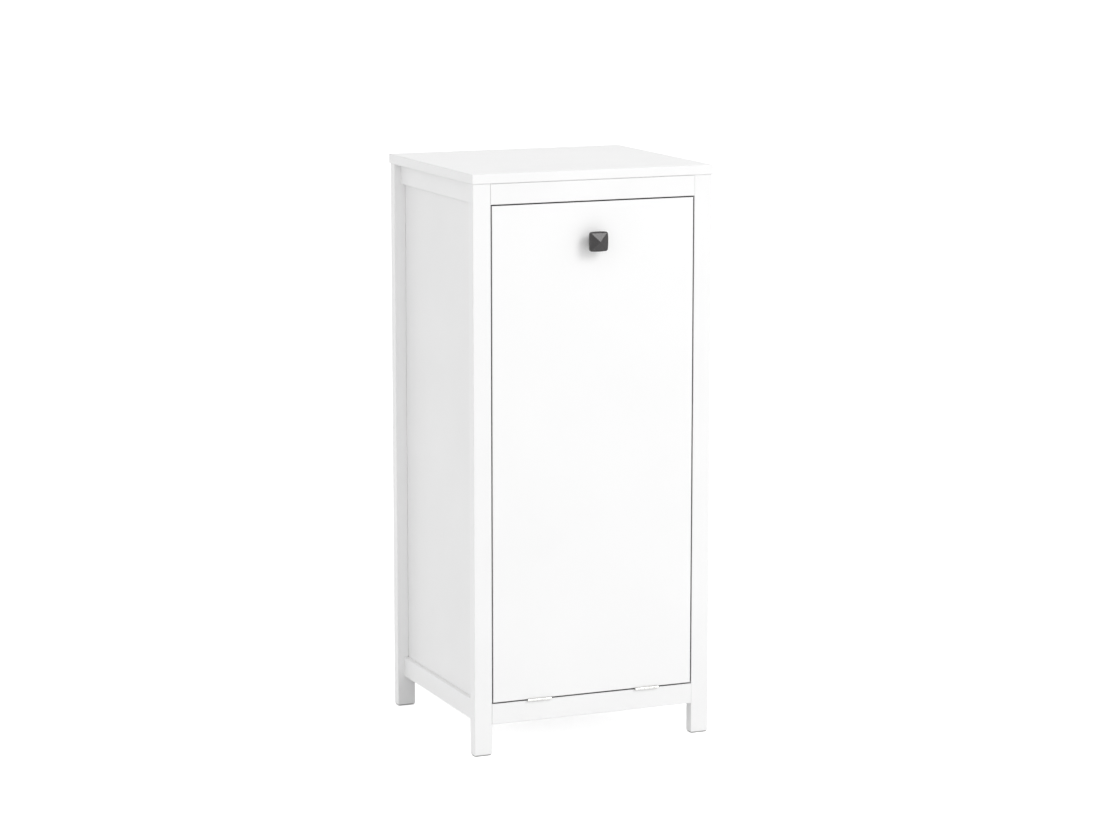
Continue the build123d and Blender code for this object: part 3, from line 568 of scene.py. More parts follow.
def grown(name, tree, places, edges, values, **ways):
    """The plain mesh that a tree makes on a mesh of places, with its named inputs and ways set."""
    seeds = bpy.data.meshes.new(name + "_places")
    seeds.from_pydata([tuple(place) for place in places], edges, [])
    for way_name, vectors in ways.items():
        way = seeds.attributes.new(way_name, "FLOAT_VECTOR", "POINT")
        way.data.foreach_set("vector", np.array(vectors, dtype=float).ravel())
    carrier = bpy.data.objects.new(name + "_carrier", seeds)
    scene.collection.objects.link(carrier)
    modifier = carrier.modifiers.new(name, "NODES")
    modifier.node_group = tree
    for socket in tree.interface.items_tree:
        if socket.in_out == "INPUT" and socket.name in values:
            modifier[socket.identifier] = values[socket.name]
    mesh = bpy.data.meshes.new_from_object(carrier.evaluated_get(bpy.context.evaluated_depsgraph_get()))
    mesh.name = name
    bpy.data.objects.remove(carrier)
    return mesh


# A screw's form, as shares of its own sizes
point_from = 0.86
tip_share = 0.25
thread_share = 0.84
ridge_share = 0.3
dome_drop = 0.75
recess_taper = 0.55
wing_thinness = 0.24
screw_rings = 56


def screw_tree():
    """Screws on places: a turned head and shank, a rolled thread, and a cross recess cut in the head."""
    tree, size = sized_tree("screws", {
        "Head radius": "Float", "Head height": "Float", "Pan head": "Float", "Shank radius": "Float",
        "Length": "Float", "Thread pitch": "Float", "Recess width": "Float", "Recess depth": "Float",
        "Seed": "Int", "Finish": "Material",
    })
    foot = add(tree, "ShaderNodeCombineXYZ", {
        2: add(tree, "ShaderNodeMath", {0: size["Length"], 1: -1.0}, operation="MULTIPLY").outputs[0],
    })
    axis = add(tree, "GeometryNodeCurvePrimitiveLine", {"End": foot.outputs[0]})
    rings = add(tree, "GeometryNodeResampleCurve", {"Curve": axis.outputs[0], "Count": screw_rings})
    place = add(tree, "GeometryNodeInputPosition").outputs[0]
    level = add(tree, "ShaderNodeSeparateXYZ", {0: place}).outputs[2]
    seat = add(tree, "ShaderNodeMath", {0: size["Head height"], 1: -1.0}, operation="MULTIPLY").outputs[0]
    cone = add(tree, "ShaderNodeMapRange", {
        "Value": level, "From Min": seat, "From Max": 0.0,
        "To Min": size["Shank radius"], "To Max": size["Head radius"],
    }).outputs[0]
    rise = add(tree, "ShaderNodeMapRange", {"Value": level, "From Min": seat, "From Max": 0.0}).outputs[0]
    crown = add(tree, "ShaderNodeMath", {
        0: 1.0,
        1: add(tree, "ShaderNodeMath", {
            0: add(tree, "ShaderNodeMath", {0: rise, 1: 2.0}, operation="POWER").outputs[0],
            1: dome_drop,
        }, operation="MULTIPLY").outputs[0],
    }, operation="SUBTRACT").outputs[0]
    dome = add(tree, "ShaderNodeMath", {
        0: add(tree, "ShaderNodeMath", {0: crown}, operation="SQRT").outputs[0],
        1: size["Head radius"],
    }, operation="MULTIPLY").outputs[0]
    in_head = add(tree, "ShaderNodeMath", {0: level, 1: seat}, operation="GREATER_THAN").outputs[0]
    pan = add(tree, "ShaderNodeMix", {0: in_head, 2: size["Shank radius"], 3: dome}, data_type="FLOAT")
    body = add(tree, "ShaderNodeMix", {0: size["Pan head"], 2: cone, 3: pan.outputs[0]}, data_type="FLOAT")
    point_level = add(tree, "ShaderNodeMath", {
        0: size["Length"], 1: -point_from,
    }, operation="MULTIPLY").outputs[0]
    point = add(tree, "ShaderNodeMapRange", {
        "Value": level,
        "From Min": add(tree, "ShaderNodeMath", {
            0: size["Length"], 1: -1.0,
        }, operation="MULTIPLY").outputs[0],
        "From Max": point_level, "To Min": tip_share, "To Max": 1.0,
    }).outputs[0]
    circle = add(tree, "GeometryNodeCurvePrimitiveCircle", {"Resolution": 28, "Radius": 1.0})
    turned = add(tree, "GeometryNodeCurveToMesh", {
        "Curve": rings.outputs[0], "Profile Curve": circle.outputs[0],
        "Scale": add(tree, "ShaderNodeMath", {
            0: body.outputs[0], 1: point,
        }, operation="MULTIPLY").outputs[0],
        "Fill Caps": True,
    })
    thread_length = add(tree, "ShaderNodeMath", {
        0: add(tree, "ShaderNodeMath", {
            0: size["Length"], 1: thread_share,
        }, operation="MULTIPLY").outputs[0],
        1: size["Head height"],
    }, operation="SUBTRACT").outputs[0]
    helix = add(tree, "GeometryNodeCurveSpiral", {
        "Resolution": 14,
        "Rotations": add(tree, "ShaderNodeMath", {
            0: thread_length, 1: size["Thread pitch"],
        }, operation="DIVIDE").outputs[0],
        "Start Radius": size["Shank radius"], "End Radius": size["Shank radius"], "Height": thread_length,
    })
    helix_foot = add(tree, "ShaderNodeCombineXYZ", {2: point_level})
    helix_place = add(tree, "GeometryNodeTransform", {
        0: helix.outputs[0], "Translation": helix_foot.outputs[0],
    })
    ridge = add(tree, "GeometryNodeCurvePrimitiveCircle", {
        "Resolution": 3,
        "Radius": add(tree, "ShaderNodeMath", {
            0: size["Thread pitch"], 1: ridge_share,
        }, operation="MULTIPLY").outputs[0],
    })
    thread = add(tree, "GeometryNodeCurveToMesh", {
        "Curve": helix_place.outputs[0], "Profile Curve": ridge.outputs[0], "Fill Caps": True,
    })
    wing_radius = add(tree, "ShaderNodeMath", {
        0: size["Recess width"], 1: math.sqrt(0.5),
    }, operation="MULTIPLY").outputs[0]
    wing = add(tree, "GeometryNodeMeshCone", {
        "Vertices": 4, "Radius Top": wing_radius,
        "Radius Bottom": add(tree, "ShaderNodeMath", {
            0: wing_radius, 1: recess_taper,
        }, operation="MULTIPLY").outputs[0],
        "Depth": add(tree, "ShaderNodeMath", {
            0: size["Recess depth"], 1: 2.0,
        }, operation="MULTIPLY").outputs[0],
    })
    wing_drop = add(tree, "ShaderNodeCombineXYZ", {
        2: add(tree, "ShaderNodeMath", {0: size["Recess depth"], 1: -1.0}, operation="MULTIPLY").outputs[0],
    })
    blades = add(tree, "GeometryNodeJoinGeometry")
    square = add(tree, "GeometryNodeTransform", {
        0: wing.outputs[0], "Translation": wing_drop.outputs[0], "Rotation": (0.0, 0.0, math.pi / 4),
    })
    for quarter in (0.0, math.pi / 2):
        thin = add(tree, "GeometryNodeTransform", {0: square.outputs[0], "Scale": (1.0, wing_thinness, 1.0)})
        blade = add(tree, "GeometryNodeTransform", {0: thin.outputs[0], "Rotation": (0.0, 0.0, quarter)})
        tree.links.new(blade.outputs[0], blades.inputs[0])
    crossed = add(tree, "GeometryNodeMeshBoolean", {1: blades.outputs[0]}, operation="UNION", solver="EXACT")
    crossed.inputs["Self Intersection"].default_value = True
    cut = add(tree, "GeometryNodeMeshBoolean", {0: turned.outputs[0], 1: crossed.outputs[0]},
              operation="DIFFERENCE", solver="EXACT")
    screw = add(tree, "GeometryNodeJoinGeometry")
    tree.links.new(cut.outputs[0], screw.inputs[0])
    tree.links.new(thread.outputs[0], screw.inputs[0])
    spin = add(tree, "FunctionNodeRandomValue", {2: 0.0, 3: math.tau, "Seed": size["Seed"]})
    about = add(tree, "FunctionNodeAxisAngleToRotation", {"Axis": (0.0, 0.0, 1.0), "Angle": spin.outputs[1]})
    aimed = add(tree, "FunctionNodeAlignRotationToVector", {
        "Vector": add(tree, "GeometryNodeInputNamedAttribute", {
            "Name": "facing",
        }, data_type="FLOAT_VECTOR").outputs[0],
    }, axis="Z")
    turn = add(tree, "FunctionNodeRotateRotation", {0: aimed.outputs[0], 1: about.outputs[0]},
               rotation_space="LOCAL")
    driven = add(tree, "GeometryNodeInstanceOnPoints", {
        "Points": size["Places"], "Instance": screw.outputs[0], "Rotation": turn.outputs[0],
    })
    finish_tree(tree, driven.outputs[0], size["Finish"])
    return tree


# Every screw of the cabinet: its CAD node, body, way its head faces, head and length, in millimetres
screws = screw_tree()
hinge_screw = {"Head radius": 2.6, "Head height": 0.8, "Shank radius": 1.2, "Length": 12.0,
               "Thread pitch": 1.1, "Recess width": 2.9, "Recess depth": 0.62}
fitting_screw = {"Head radius": 3.2, "Head height": 1.5, "Shank radius": 1.45, "Length": 13.0,
                 "Thread pitch": 1.3, "Recess width": 3.5, "Recess depth": 1.05}
machine_screw = {"Head radius": 4.0, "Head height": 2.2, "Shank radius": 1.8, "Length": 27.0,
                 "Thread pitch": 0.8, "Recess width": 4.2, "Recess depth": 1.3, "Pan head": 1.0}
screw_sets = [
    ("hinge_rail_screws", "cabinet", (0.0, 0.0, 1.0), hinge_screw, 3),
    ("hinge_door_screws", "door", (0.0, 0.0, -1.0), hinge_screw, 5),
    ("socket_screws", "door", (0.0, 1.0, 0.0), fitting_screw, 7),
    ("strike_screws", "door", (0.0, 1.0, 0.0), fitting_screw, 11),
    ("catch_screws", "cabinet", (0.0, 1.0, 0.0), fitting_screw, 13),
    ("knob_screw", "door", (0.0, 1.0, 0.0), machine_screw, 17),
]


# Corners of loose triangles nearer than this, in metres, are one corner
one_corner_within = 1e-7


def shells_of(node):
    """The separate solids of a CAD node, each as an array of its corners."""
    mesh = nodes[node].data
    merged = bmesh.new()
    merged.from_mesh(mesh)
    bmesh.ops.remove_doubles(merged, verts=merged.verts, dist=one_corner_within)
    merged.verts.ensure_lookup_table()
    unseen = set(merged.verts)
    shells = []
    while unseen:
        front = [unseen.pop()]
        shell = list(front)
        while front:
            corner = front.pop()
            for edge in corner.link_edges:
                other = edge.other_vert(corner)
                if other in unseen:
                    unseen.remove(other)
                    front.append(other)
                    shell.append(other)
        shells.append(np.array([tuple(corner.co) for corner in shell]))
    merged.free()
    return sorted(shells, key=lambda shell: tuple(shell.mean(axis=0).round(5)))


def head_points(node, facing):
    """The middle of each screw's head face, read from the CAD node."""
    axis = np.array(facing)
    points = []
    for shell in shells_of(node):
        middle = (shell.min(axis=0) + shell.max(axis=0)) / 2
        top = (shell @ axis).max()
        points.append(middle + axis * (top - middle @ axis))
    return points


for node, body, facing, sizes, seed in screw_sets:
    in_metres = {name: value if name == "Pan head" else value * mm for name, value in sizes.items()}
    values = {**in_metres, "Seed": seed, "Finish": zinc}
    places = head_points(node, facing)
    screw_mesh = grown(node + "_detailed", screws, places, [], values, facing=[facing] * len(places))
    new_piece(node + "_detailed", shade(screw_mesh, 35), body, zinc, node)


# A cam's form: real sizes in metres, and shares of its radius
rim_chamfer = 0.5 * mm
rim_share = 0.92
blade_width = 1.5 * mm
pointer_radius = 0.9 * mm
pointer_depth = 1.0 * mm
pointer_share = 0.78
slot_middle_share = 1.35
cam_rings = 30


def cam_tree():
    """Round cams on places: a chamfered drum with a bolt slot, a cross recess and a pointer notch."""
    tree, size = sized_tree("cams", {"Radius": "Float", "Depth": "Float", "Slot width": "Float",
                                     "Slot level": "Float", "Recess width": "Float",
                                     "Recess depth": "Float", "Finish": "Material"})
    foot = add(tree, "ShaderNodeCombineXYZ", {
        2: add(tree, "ShaderNodeMath", {0: size["Depth"], 1: -1.0}, operation="MULTIPLY").outputs[0],
    })
    axis = add(tree, "GeometryNodeCurvePrimitiveLine", {"End": foot.outputs[0]})
    rings = add(tree, "GeometryNodeResampleCurve", {"Curve": axis.outputs[0], "Count": cam_rings})
    place = add(tree, "GeometryNodeInputPosition").outputs[0]
    level = add(tree, "ShaderNodeSeparateXYZ", {0: place}).outputs[2]
    rim = add(tree, "ShaderNodeMapRange", {
        "Value": level, "From Min": -rim_chamfer, "From Max": 0.0, "To Min": 1.0, "To Max": rim_share,
    })
    circle = add(tree, "GeometryNodeCurvePrimitiveCircle", {"Resolution": 40, "Radius": 1.0})
    drum = add(tree, "GeometryNodeCurveToMesh", {
        "Curve": rings.outputs[0], "Profile Curve": circle.outputs[0],
        "Scale": add(tree, "ShaderNodeMath", {
            0: rim.outputs[0], 1: size["Radius"],
        }, operation="MULTIPLY").outputs[0],
        "Fill Caps": True,
    })
    recess = add(tree, "GeometryNodeJoinGeometry")
    double_depth = add(tree, "ShaderNodeMath", {
        0: size["Recess depth"], 1: 2.0,
    }, operation="MULTIPLY").outputs[0]
    for wing in (0, 1):
        across = [blade_width, blade_width, double_depth]
        across[wing] = size["Recess width"]
        block = add(tree, "ShaderNodeCombineXYZ", dict(enumerate(across)))
        blade = add(tree, "GeometryNodeMeshCube", {"Size": block.outputs[0]})
        tree.links.new(blade.outputs[0], recess.inputs[0])
    slot_size = add(tree, "ShaderNodeCombineXYZ", {
        0: add(tree, "ShaderNodeMath", {0: size["Radius"], 1: 2.0}, operation="MULTIPLY").outputs[0],
        1: add(tree, "ShaderNodeMath", {0: size["Radius"], 1: 3.0}, operation="MULTIPLY").outputs[0],
        2: size["Slot width"],
    })
    slot_place = add(tree, "ShaderNodeCombineXYZ", {
        0: add(tree, "ShaderNodeMath", {
            0: size["Radius"], 1: slot_middle_share,
        }, operation="MULTIPLY").outputs[0],
        2: add(tree, "ShaderNodeMath", {0: size["Slot level"], 1: -1.0}, operation="MULTIPLY").outputs[0],
    })
    slot = add(tree, "GeometryNodeMeshCube", {"Size": slot_size.outputs[0]})
    slot_cut = add(tree, "GeometryNodeTransform", {0: slot.outputs[0], "Translation": slot_place.outputs[0]})
    tree.links.new(slot_cut.outputs[0], recess.inputs[0])
    pointer = add(tree, "GeometryNodeMeshCone", {
        "Vertices": 3, "Radius Top": pointer_radius, "Radius Bottom": pointer_radius, "Depth": pointer_depth,
    })
    pointer_place = add(tree, "ShaderNodeCombineXYZ", {
        0: add(tree, "ShaderNodeMath", {
            0: size["Radius"], 1: pointer_share,
        }, operation="MULTIPLY").outputs[0],
        2: -pointer_depth / 2,
    })
    notch = add(tree, "GeometryNodeTransform", {
        0: pointer.outputs[0], "Translation": pointer_place.outputs[0],
    })
    tree.links.new(notch.outputs[0], recess.inputs[0])
    cut = add(tree, "GeometryNodeMeshBoolean", {0: drum.outputs[0], 1: recess.outputs[0]},
              operation="DIFFERENCE", solver="EXACT")
    cut.inputs["Self Intersection"].default_value = True
    turn = add(tree, "FunctionNodeAxesToRotation", {
        0: add(tree, "GeometryNodeInputNamedAttribute", {
            "Name": "facing",
        }, data_type="FLOAT_VECTOR").outputs[0],
        1: add(tree, "GeometryNodeInputNamedAttribute", {
            "Name": "toward",
        }, data_type="FLOAT_VECTOR").outputs[0],
    }, primary_axis="Z", secondary_axis="X")
    pressed = add(tree, "GeometryNodeInstanceOnPoints", {
        "Points": size["Places"], "Instance": cut.outputs[0], "Rotation": turn.outputs[0],
    })
    finish_tree(tree, pressed.outputs[0], size["Finish"])
    return tree


# The cams of the top side rails are the ones above this level that lie thinner across than deep
top_rails_above = 0.8
same_size_within = 0.1 * mm


def cam_ways():
    """Where each cam's outer face is, which way it faces and which way its bolt comes in."""
    places, facings, towards = [], [], []
    for shell in shells_of("cam_locks"):
        low, high = shell.min(axis=0), shell.max(axis=0)
        middle = (low + high) / 2
        wide, deep, tall = high - low
        on_side_rail = (abs(tall - deep) < same_size_within and wide < deep
                        and middle[2] > top_rails_above)
        outward = np.array([math.copysign(1.0, middle[0]), 0.0, 0.0])
        if on_side_rail:
            facing, toward = -outward, np.array([0.0, 0.0, 1.0])
        else:
            facing, toward = np.array([0.0, -math.copysign(1.0, middle[1]), 0.0]), outward
        reach = (high - low) / 2 @ np.abs(facing)
        places.append(middle + facing * reach)
        facings.append(facing)
        towards.append(toward)
    return places, facings, towards


# The cams' sizes in millimetres
cam_sizes = {"Radius": 6.0, "Depth": 11.88, "Slot width": 7.0, "Slot level": 9.0,
             "Recess width": 7.2, "Recess depth": 1.2}
cam_places, cam_facings, cam_towards = cam_ways()
cam_mesh = grown("cam_locks_detailed", cam_tree(), cam_places, [],
                 {**{name: value * mm for name, value in cam_sizes.items()}, "Finish": cam_zinc},
                 facing=cam_facings, toward=cam_towards)
new_piece("cam_locks_detailed", shade(cam_mesh, 30), "cabinet", cam_zinc, "cam_locks")


# Laundry bag: cut sizes in metres, taken from the bars it hangs on and the space its CAD solid holds
bag_low, bag_high = (np.array(corner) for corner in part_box("laundry_bag"))
wire_high = np.array(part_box("bag_frame")[1])
bar_radius = 3.0 * mm
bar_x = wire_high[0] - bar_radius
rear_bar_y = wire_high[1] - bar_radius
sleeve_reach = 4.5 * mm
cross_bar_y = bag_low[1] + sleeve_reach
bar_z = bag_high[2] - sleeve_reach
wire_gap = 3.9 * mm
cross_bar_radius = 2.4 * mm
pin_radius = 2.6 * mm
mouth_half = np.array([bar_x - wire_gap, (rear_bar_y - cross_bar_y) / 2 - wire_gap])
mouth_middle_y = (rear_bar_y + cross_bar_y) / 2
draw_in_to_foot = np.array([11.7, 13.2])
foot_half = mouth_half - draw_in_to_foot * mm
mouth_round = 26.0 * mm
foot_round = 13.0 * mm
sleeve_half = np.array([106.8, 99.4]) * mm
notch_depth = 17.0 * mm
base_rise = 1.2 * mm
foot_z = bag_low[2] + base_rise
cloth_thickness = 0.8 * mm
long_steps = 20
short_steps = 18
corner_steps = 10
rows = 64
columns = 2 * (long_steps + short_steps) + 4 * corner_steps

# Weld beads of the wire frame. They sink a little into the bar, as molten steel does
bead_width = 1.5 * mm
bead_height = 1.9 * mm
bead_facets = 24
bead_unevenness = 0.08
bead_sink = 0.6 * mm
cap_radius = 4.12 * mm


def bead_mesh(beads):
    """Weld beads: each a hollow-sided ring round a rod, where it meets a bar."""
    made = bmesh.new()
    for centre, axis, rod_radius in beads:
        turn = Vector(axis).to_track_quat("Z", "Y").to_matrix()
        rings = []
        for share in (0.0, 0.25, 0.5, 0.75, 1.0):
            radius = rod_radius + bead_width * (1 - share) ** 2
            height = bead_height * share
            ring = []
            for step in range(bead_facets):
                angle = math.tau * step / bead_facets
                x, y = math.cos(angle), math.sin(angle)
                lump = 1 + bead_unevenness * noise.noise(Vector((x * 2, y * 2, centre[0] * 90)))
                local = Vector((radius * lump * x, radius * lump * y, height))
                ring.append(made.verts.new(Vector(centre) + turn @ local))
            rings.append(ring)
        for lower, upper in zip(rings, rings[1:]):
            for step in range(bead_facets):
                after = (step + 1) % bead_facets
                made.faces.new((lower[step], lower[after], upper[after], upper[step]))
        made.faces.new(rings[0][::-1])
        made.faces.new(rings[-1])
    bmesh.ops.recalc_face_normals(made, faces=made.faces)
    mesh = bpy.data.meshes.new("frame_weld_beads")
    made.to_mesh(mesh)
    made.free()
    return mesh


pin_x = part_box("stop_caps")[1][0] - cap_radius
beads = []
for side in (-1, 1):
    bar_side = side * (bar_x - bar_radius + bead_sink)
    beads.append(((bar_side, cross_bar_y, bar_z), (-side, 0, 0), cross_bar_radius))
    beads.append(((side * pin_x, rear_bar_y, bar_z + bar_radius - bead_sink), (0, 0, 1), pin_radius))
weld_beads = bpy.data.objects.new("frame_weld_beads", shade(bead_mesh(beads), 60))
scene.collection.objects.link(weld_beads)
dress(weld_beads, rod_coat)
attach(weld_beads, "door")


def outline_point(half, corner_round, sleeve, step):
    """A point of the bag's rounded outline, by steps from the front left sleeve end, anticlockwise."""
    straights = [long_steps, short_steps, long_steps, short_steps]
    for quarter, straight in enumerate(straights):
        along, across = (0, 1) if quarter % 2 == 0 else (1, 0)
        if step <= straight:
            share = step / straight * 2 - 1
            local = np.array([share * sleeve[along], -half[across]])
            break
        step -= straight
        if step < corner_steps:
            start = sleeve[along]
            bend = half[along] - corner_round
            lead = bend - start
            arc = corner_round * math.pi / 2
            tail = half[across] - corner_round - sleeve[across]
            gone = step / corner_steps * (lead + arc + tail)
            if gone < lead:
                local = np.array([start + gone, -half[across]])
            elif gone < lead + arc:
                turn = (gone - lead) / corner_round
                local = np.array([bend + corner_round * math.sin(turn),
                                  -half[across] + corner_round * (1 - math.cos(turn))])
            else:
                local = np.array([half[along], -half[across] + corner_round + gone - lead - arc])
            break
        step -= corner_steps
    return turned_point(local, quarter)


def turned_point(local, quarter):
    """A point of the front side turned by a number of right angles."""
    x, y = local
    return np.array([(x, y), (-y, x), (-x, -y), (y, -x)][quarter])


def sleeve_columns():
    """The columns of each of the four sleeves, and how far each column lies into a corner notch."""
    spans = []
    into_notch = np.zeros(columns)
    start = 0
    for straight in (long_steps, short_steps, long_steps, short_steps):
        spans.append(list(range(start, start + straight + 1)))
        for step in range(1, corner_steps):
            into_notch[(start + straight + step) % columns] = step / corner_steps
        start += straight + corner_steps
    return spans, into_notch


sleeve_spans, into_notch = sleeve_columns()


def bag_walls_points():
    """The walls as rows of points, from the mouth down to the foot."""
    mouth = np.array([outline_point(mouth_half, mouth_round, sleeve_half, c) for c in range(columns)])
    foot_sleeve = sleeve_half * foot_half / mouth_half
    foot = np.array([outline_point(foot_half, foot_round, foot_sleeve, c) for c in range(columns)])
    notch = notch_depth * np.sqrt(np.sin(np.pi * into_notch))
    points = np.zeros((rows + 1, columns, 3))
    for row in range(rows + 1):
        share = row / rows
        points[row, :, 2] = (bar_z - notch) * (1 - share) + foot_z * share
        down = (bar_z - points[row, :, 2]) / (bar_z - foot_z)
        points[row, :, 0] = mouth[:, 0] * (1 - down) + foot[:, 0] * down
        points[row, :, 1] = mouth[:, 1] * (1 - down) + foot[:, 1] * down + mouth_middle_y
    return points


def grid_faces(row_count, column_count):
    """Quads between closed rows of points."""
    faces = []
    for row in range(row_count):
        upper = row * column_count
        lower = upper + column_count
        for column in range(column_count):
            after = (column + 1) % column_count
            faces.append((upper + column, upper + after, lower + after, lower + column))
    return faces


def base_grid(loop):
    """The base as a grid stretched inside the foot's outline; its edge points are the outline's own."""
    across = long_steps + corner_steps
    deep = short_steps + corner_steps
    first = -(corner_steps // 2)
    ring = [(first + step) % columns for step in range(columns)]
    front = ring[:across + 1]
    right = ring[across:across + deep + 1]
    back = ring[across + deep:2 * across + deep + 1][::-1]
    left = (ring[2 * across + deep:] + ring[:1])[::-1]
    grid = np.zeros((deep + 1, across + 1), dtype=int)
    inner = []
    for j in range(deep + 1):
        for i in range(across + 1):
            if j == 0:
                grid[j, i] = front[i]
            elif j == deep:
                grid[j, i] = back[i]
            elif i == 0:
                grid[j, i] = left[j]
            elif i == across:
                grid[j, i] = right[j]
            else:
                u, v = i / across, j / deep
                sides_mean = ((1 - v) * loop[front[i]] + v * loop[back[i]]
                              + (1 - u) * loop[left[j]] + u * loop[right[j]])
                corners_mean = ((1 - u) * (1 - v) * loop[front[0]] + u * (1 - v) * loop[front[-1]]
                                + (1 - u) * v * loop[back[0]] + u * v * loop[back[-1]])
                grid[j, i] = columns + len(inner)
                inner.append(sides_mean - corners_mean)
    return grid, np.array(inner)


def settled(points, faces, held, slack, frames):
    """The places of cloth points after hanging under gravity, with some spare cloth."""
    mesh = bpy.data.meshes.new("cloth_at_rest")
    mesh.from_pydata([tuple(point) for point in points], [], faces)
    hanging = bpy.data.objects.new("cloth_at_rest", mesh)
    scene.collection.objects.link(hanging)
    hanging.vertex_groups.new(name="held").add(held, 1.0, "REPLACE")
    cloth = hanging.modifiers.new("hang", "CLOTH")
    cloth.settings.vertex_group_mass = "held"
    cloth.settings.quality = 6
    cloth.settings.mass = 0.25
    cloth.settings.tension_stiffness = 25.0
    cloth.settings.compression_stiffness = 25.0
    cloth.settings.shear_stiffness = 8.0
    cloth.settings.bending_stiffness = 1.2
    cloth.settings.air_damping = 3.0
    cloth.settings.shrink_min = -slack
    cloth.collision_settings.use_self_collision = False
    cloth.point_cache.frame_start = 1
    cloth.point_cache.frame_end = frames
    for frame_number in range(1, frames + 1):
        scene.frame_set(frame_number)
    hung = hanging.evaluated_get(bpy.context.evaluated_depsgraph_get())
    places = np.zeros(len(points) * 3)
    hung.data.vertices.foreach_get("co", places)
    bpy.data.objects.remove(hanging)
    scene.frame_set(1)
    return places.reshape(-1, 3)


# Near a corner, both walls count as outward within this share of the bag's half size
corner_band = 0.05

# The push that starts the folds, and how many of its broad and fine waves lie in a metre
fold_push_mm = 3.0
fine_share = 0.6
broad_waves = (14, 14, 2.2)
fine_waves = (30, 30, 5)


def waves_at(place, waves):
    """Noise from -1 to 1 with this many waves a metre along each axis."""
    return noise.noise(Vector([along * count for along, count in zip(place, waves)]))


def soft_folds(points):
    """A small seeded push in or out, so that the spare cloth falls into uneven upright folds."""
    pushed = points.copy()
    for number, place in enumerate(points):
        wave = waves_at(place, broad_waves) + fine_share * waves_at(place, fine_waves)
        away = np.array([place[0] / mouth_half[0], (place[1] - mouth_middle_y) / mouth_half[1]])
        away = np.sign(away) * (np.abs(away) >= np.abs(away).max() - corner_band)
        pushed[number, :2] += away * wave * fold_push_mm * mm
    return pushed


walls = bag_walls_points()
foot_loop = walls[-1]
base_index, base_inner = base_grid(foot_loop)
wall_count = (rows + 1) * columns
all_points = np.concatenate([walls.reshape(-1, 3), base_inner])
foot_start = rows * columns
wall_faces = grid_faces(rows, columns)
base_faces = []
for j in range(base_index.shape[0] - 1):
    for i in range(base_index.shape[1] - 1):
        quad = (base_index[j, i], base_index[j + 1, i], base_index[j + 1, i + 1], base_index[j, i + 1])
        base_faces.append(tuple(int(foot_start + corner) for corner in quad))

# The simulation: rows held in the sleeve, spare cloth as a share, and how many frames it hangs
held_rows = 3
held_points = [row * columns + column for span in sleeve_spans for column in span for row in range(held_rows)]
slack = 0.022
settling_frames = 40
pushed_points = soft_folds(all_points)
pushed_points[held_points] = all_points[held_points]
hung_points = settled(pushed_points, wall_faces + base_faces, held_points, slack, settling_frames)

# The cloth stays near the space its CAD solid holds, clear of the cabinet all the way round
most_outward = 7.0 * mm
most_inward = 15.0 * mm
most_inward_at_foot = 3.0 * mm
most_drop = 5.0 * mm
most_lift = 12.0 * mm
moved = hung_points - all_points
outward = np.zeros_like(all_points)
outward[:, 0] = all_points[:, 0] / mouth_half[0]
outward[:, 1] = (all_points[:, 1] - mouth_middle_y) / mouth_half[1]
outward[:, :2] *= np.abs(outward[:, :2]) >= np.abs(outward[:, :2]).max(axis=1)[:, None] - corner_band
outward[wall_count:] = 0
outward /= np.maximum(np.linalg.norm(outward, axis=1), 1e-9)[:, None]
out_by = (moved * outward).sum(axis=1)
fallen = (bar_z - all_points[:, 2]) / (bar_z - foot_z)
inward_limit = most_inward + (most_inward_at_foot - most_inward) * fallen ** 3
moved += outward * (np.clip(out_by, -inward_limit, most_outward) - out_by)[:, None]
on_base = np.arange(len(all_points)) >= foot_start
moved[on_base, :2] = np.clip(moved[on_base, :2], -most_inward_at_foot, most_inward_at_foot)
moved[:, 2] = np.clip(moved[:, 2], -most_drop, most_lift)
hung_points = all_points + moved
hung_walls = hung_points[:wall_count].reshape(rows + 1, columns, 3)

# Each sleeve goes up over its bar and down outside it to a hem stitched flat on the wall. Its
# path is out from the bar's axis and up, round the bar by angle and then by points in millimetres
sleeve_turns = [math.radians(angle) for angle in range(158, -1, -22)]
sleeve_path = [(wire_gap * math.cos(turn), wire_gap * math.sin(turn)) for turn in sleeve_turns]
hem_offset = -2.95 * mm
sleeve_path += [(u * mm, v * mm) for u, v in ((3.6, -2.6), (2.4, -6.2), (0.2, -9.6), (-1.9, -12.2))]
hem_levels = [-14.0 * mm, -17.5 * mm, -21.0 * mm]
hem_margin = 1.5 * mm
sleeve_path += [(hem_offset, level) for level in hem_levels]
side_normals = [(0.0, -1.0, 0.0), (1.0, 0.0, 0.0), (0.0, 1.0, 0.0), (-1.0, 0.0, 0.0)]


def bar_point(column, normal, u, v):
    """A point beside a bar: u out from its axis and v above it."""
    top = walls[0, column]
    return top + np.array(normal) * (wire_gap + u) + np.array([0, 0, v])


# The sleeve's small puckers, on its outer face only
pucker_depth = 0.5 * mm
pucker_waves = (70, 70, 260)
outer_face_from = 3 * mm
outer_face_blend = 4 * mm


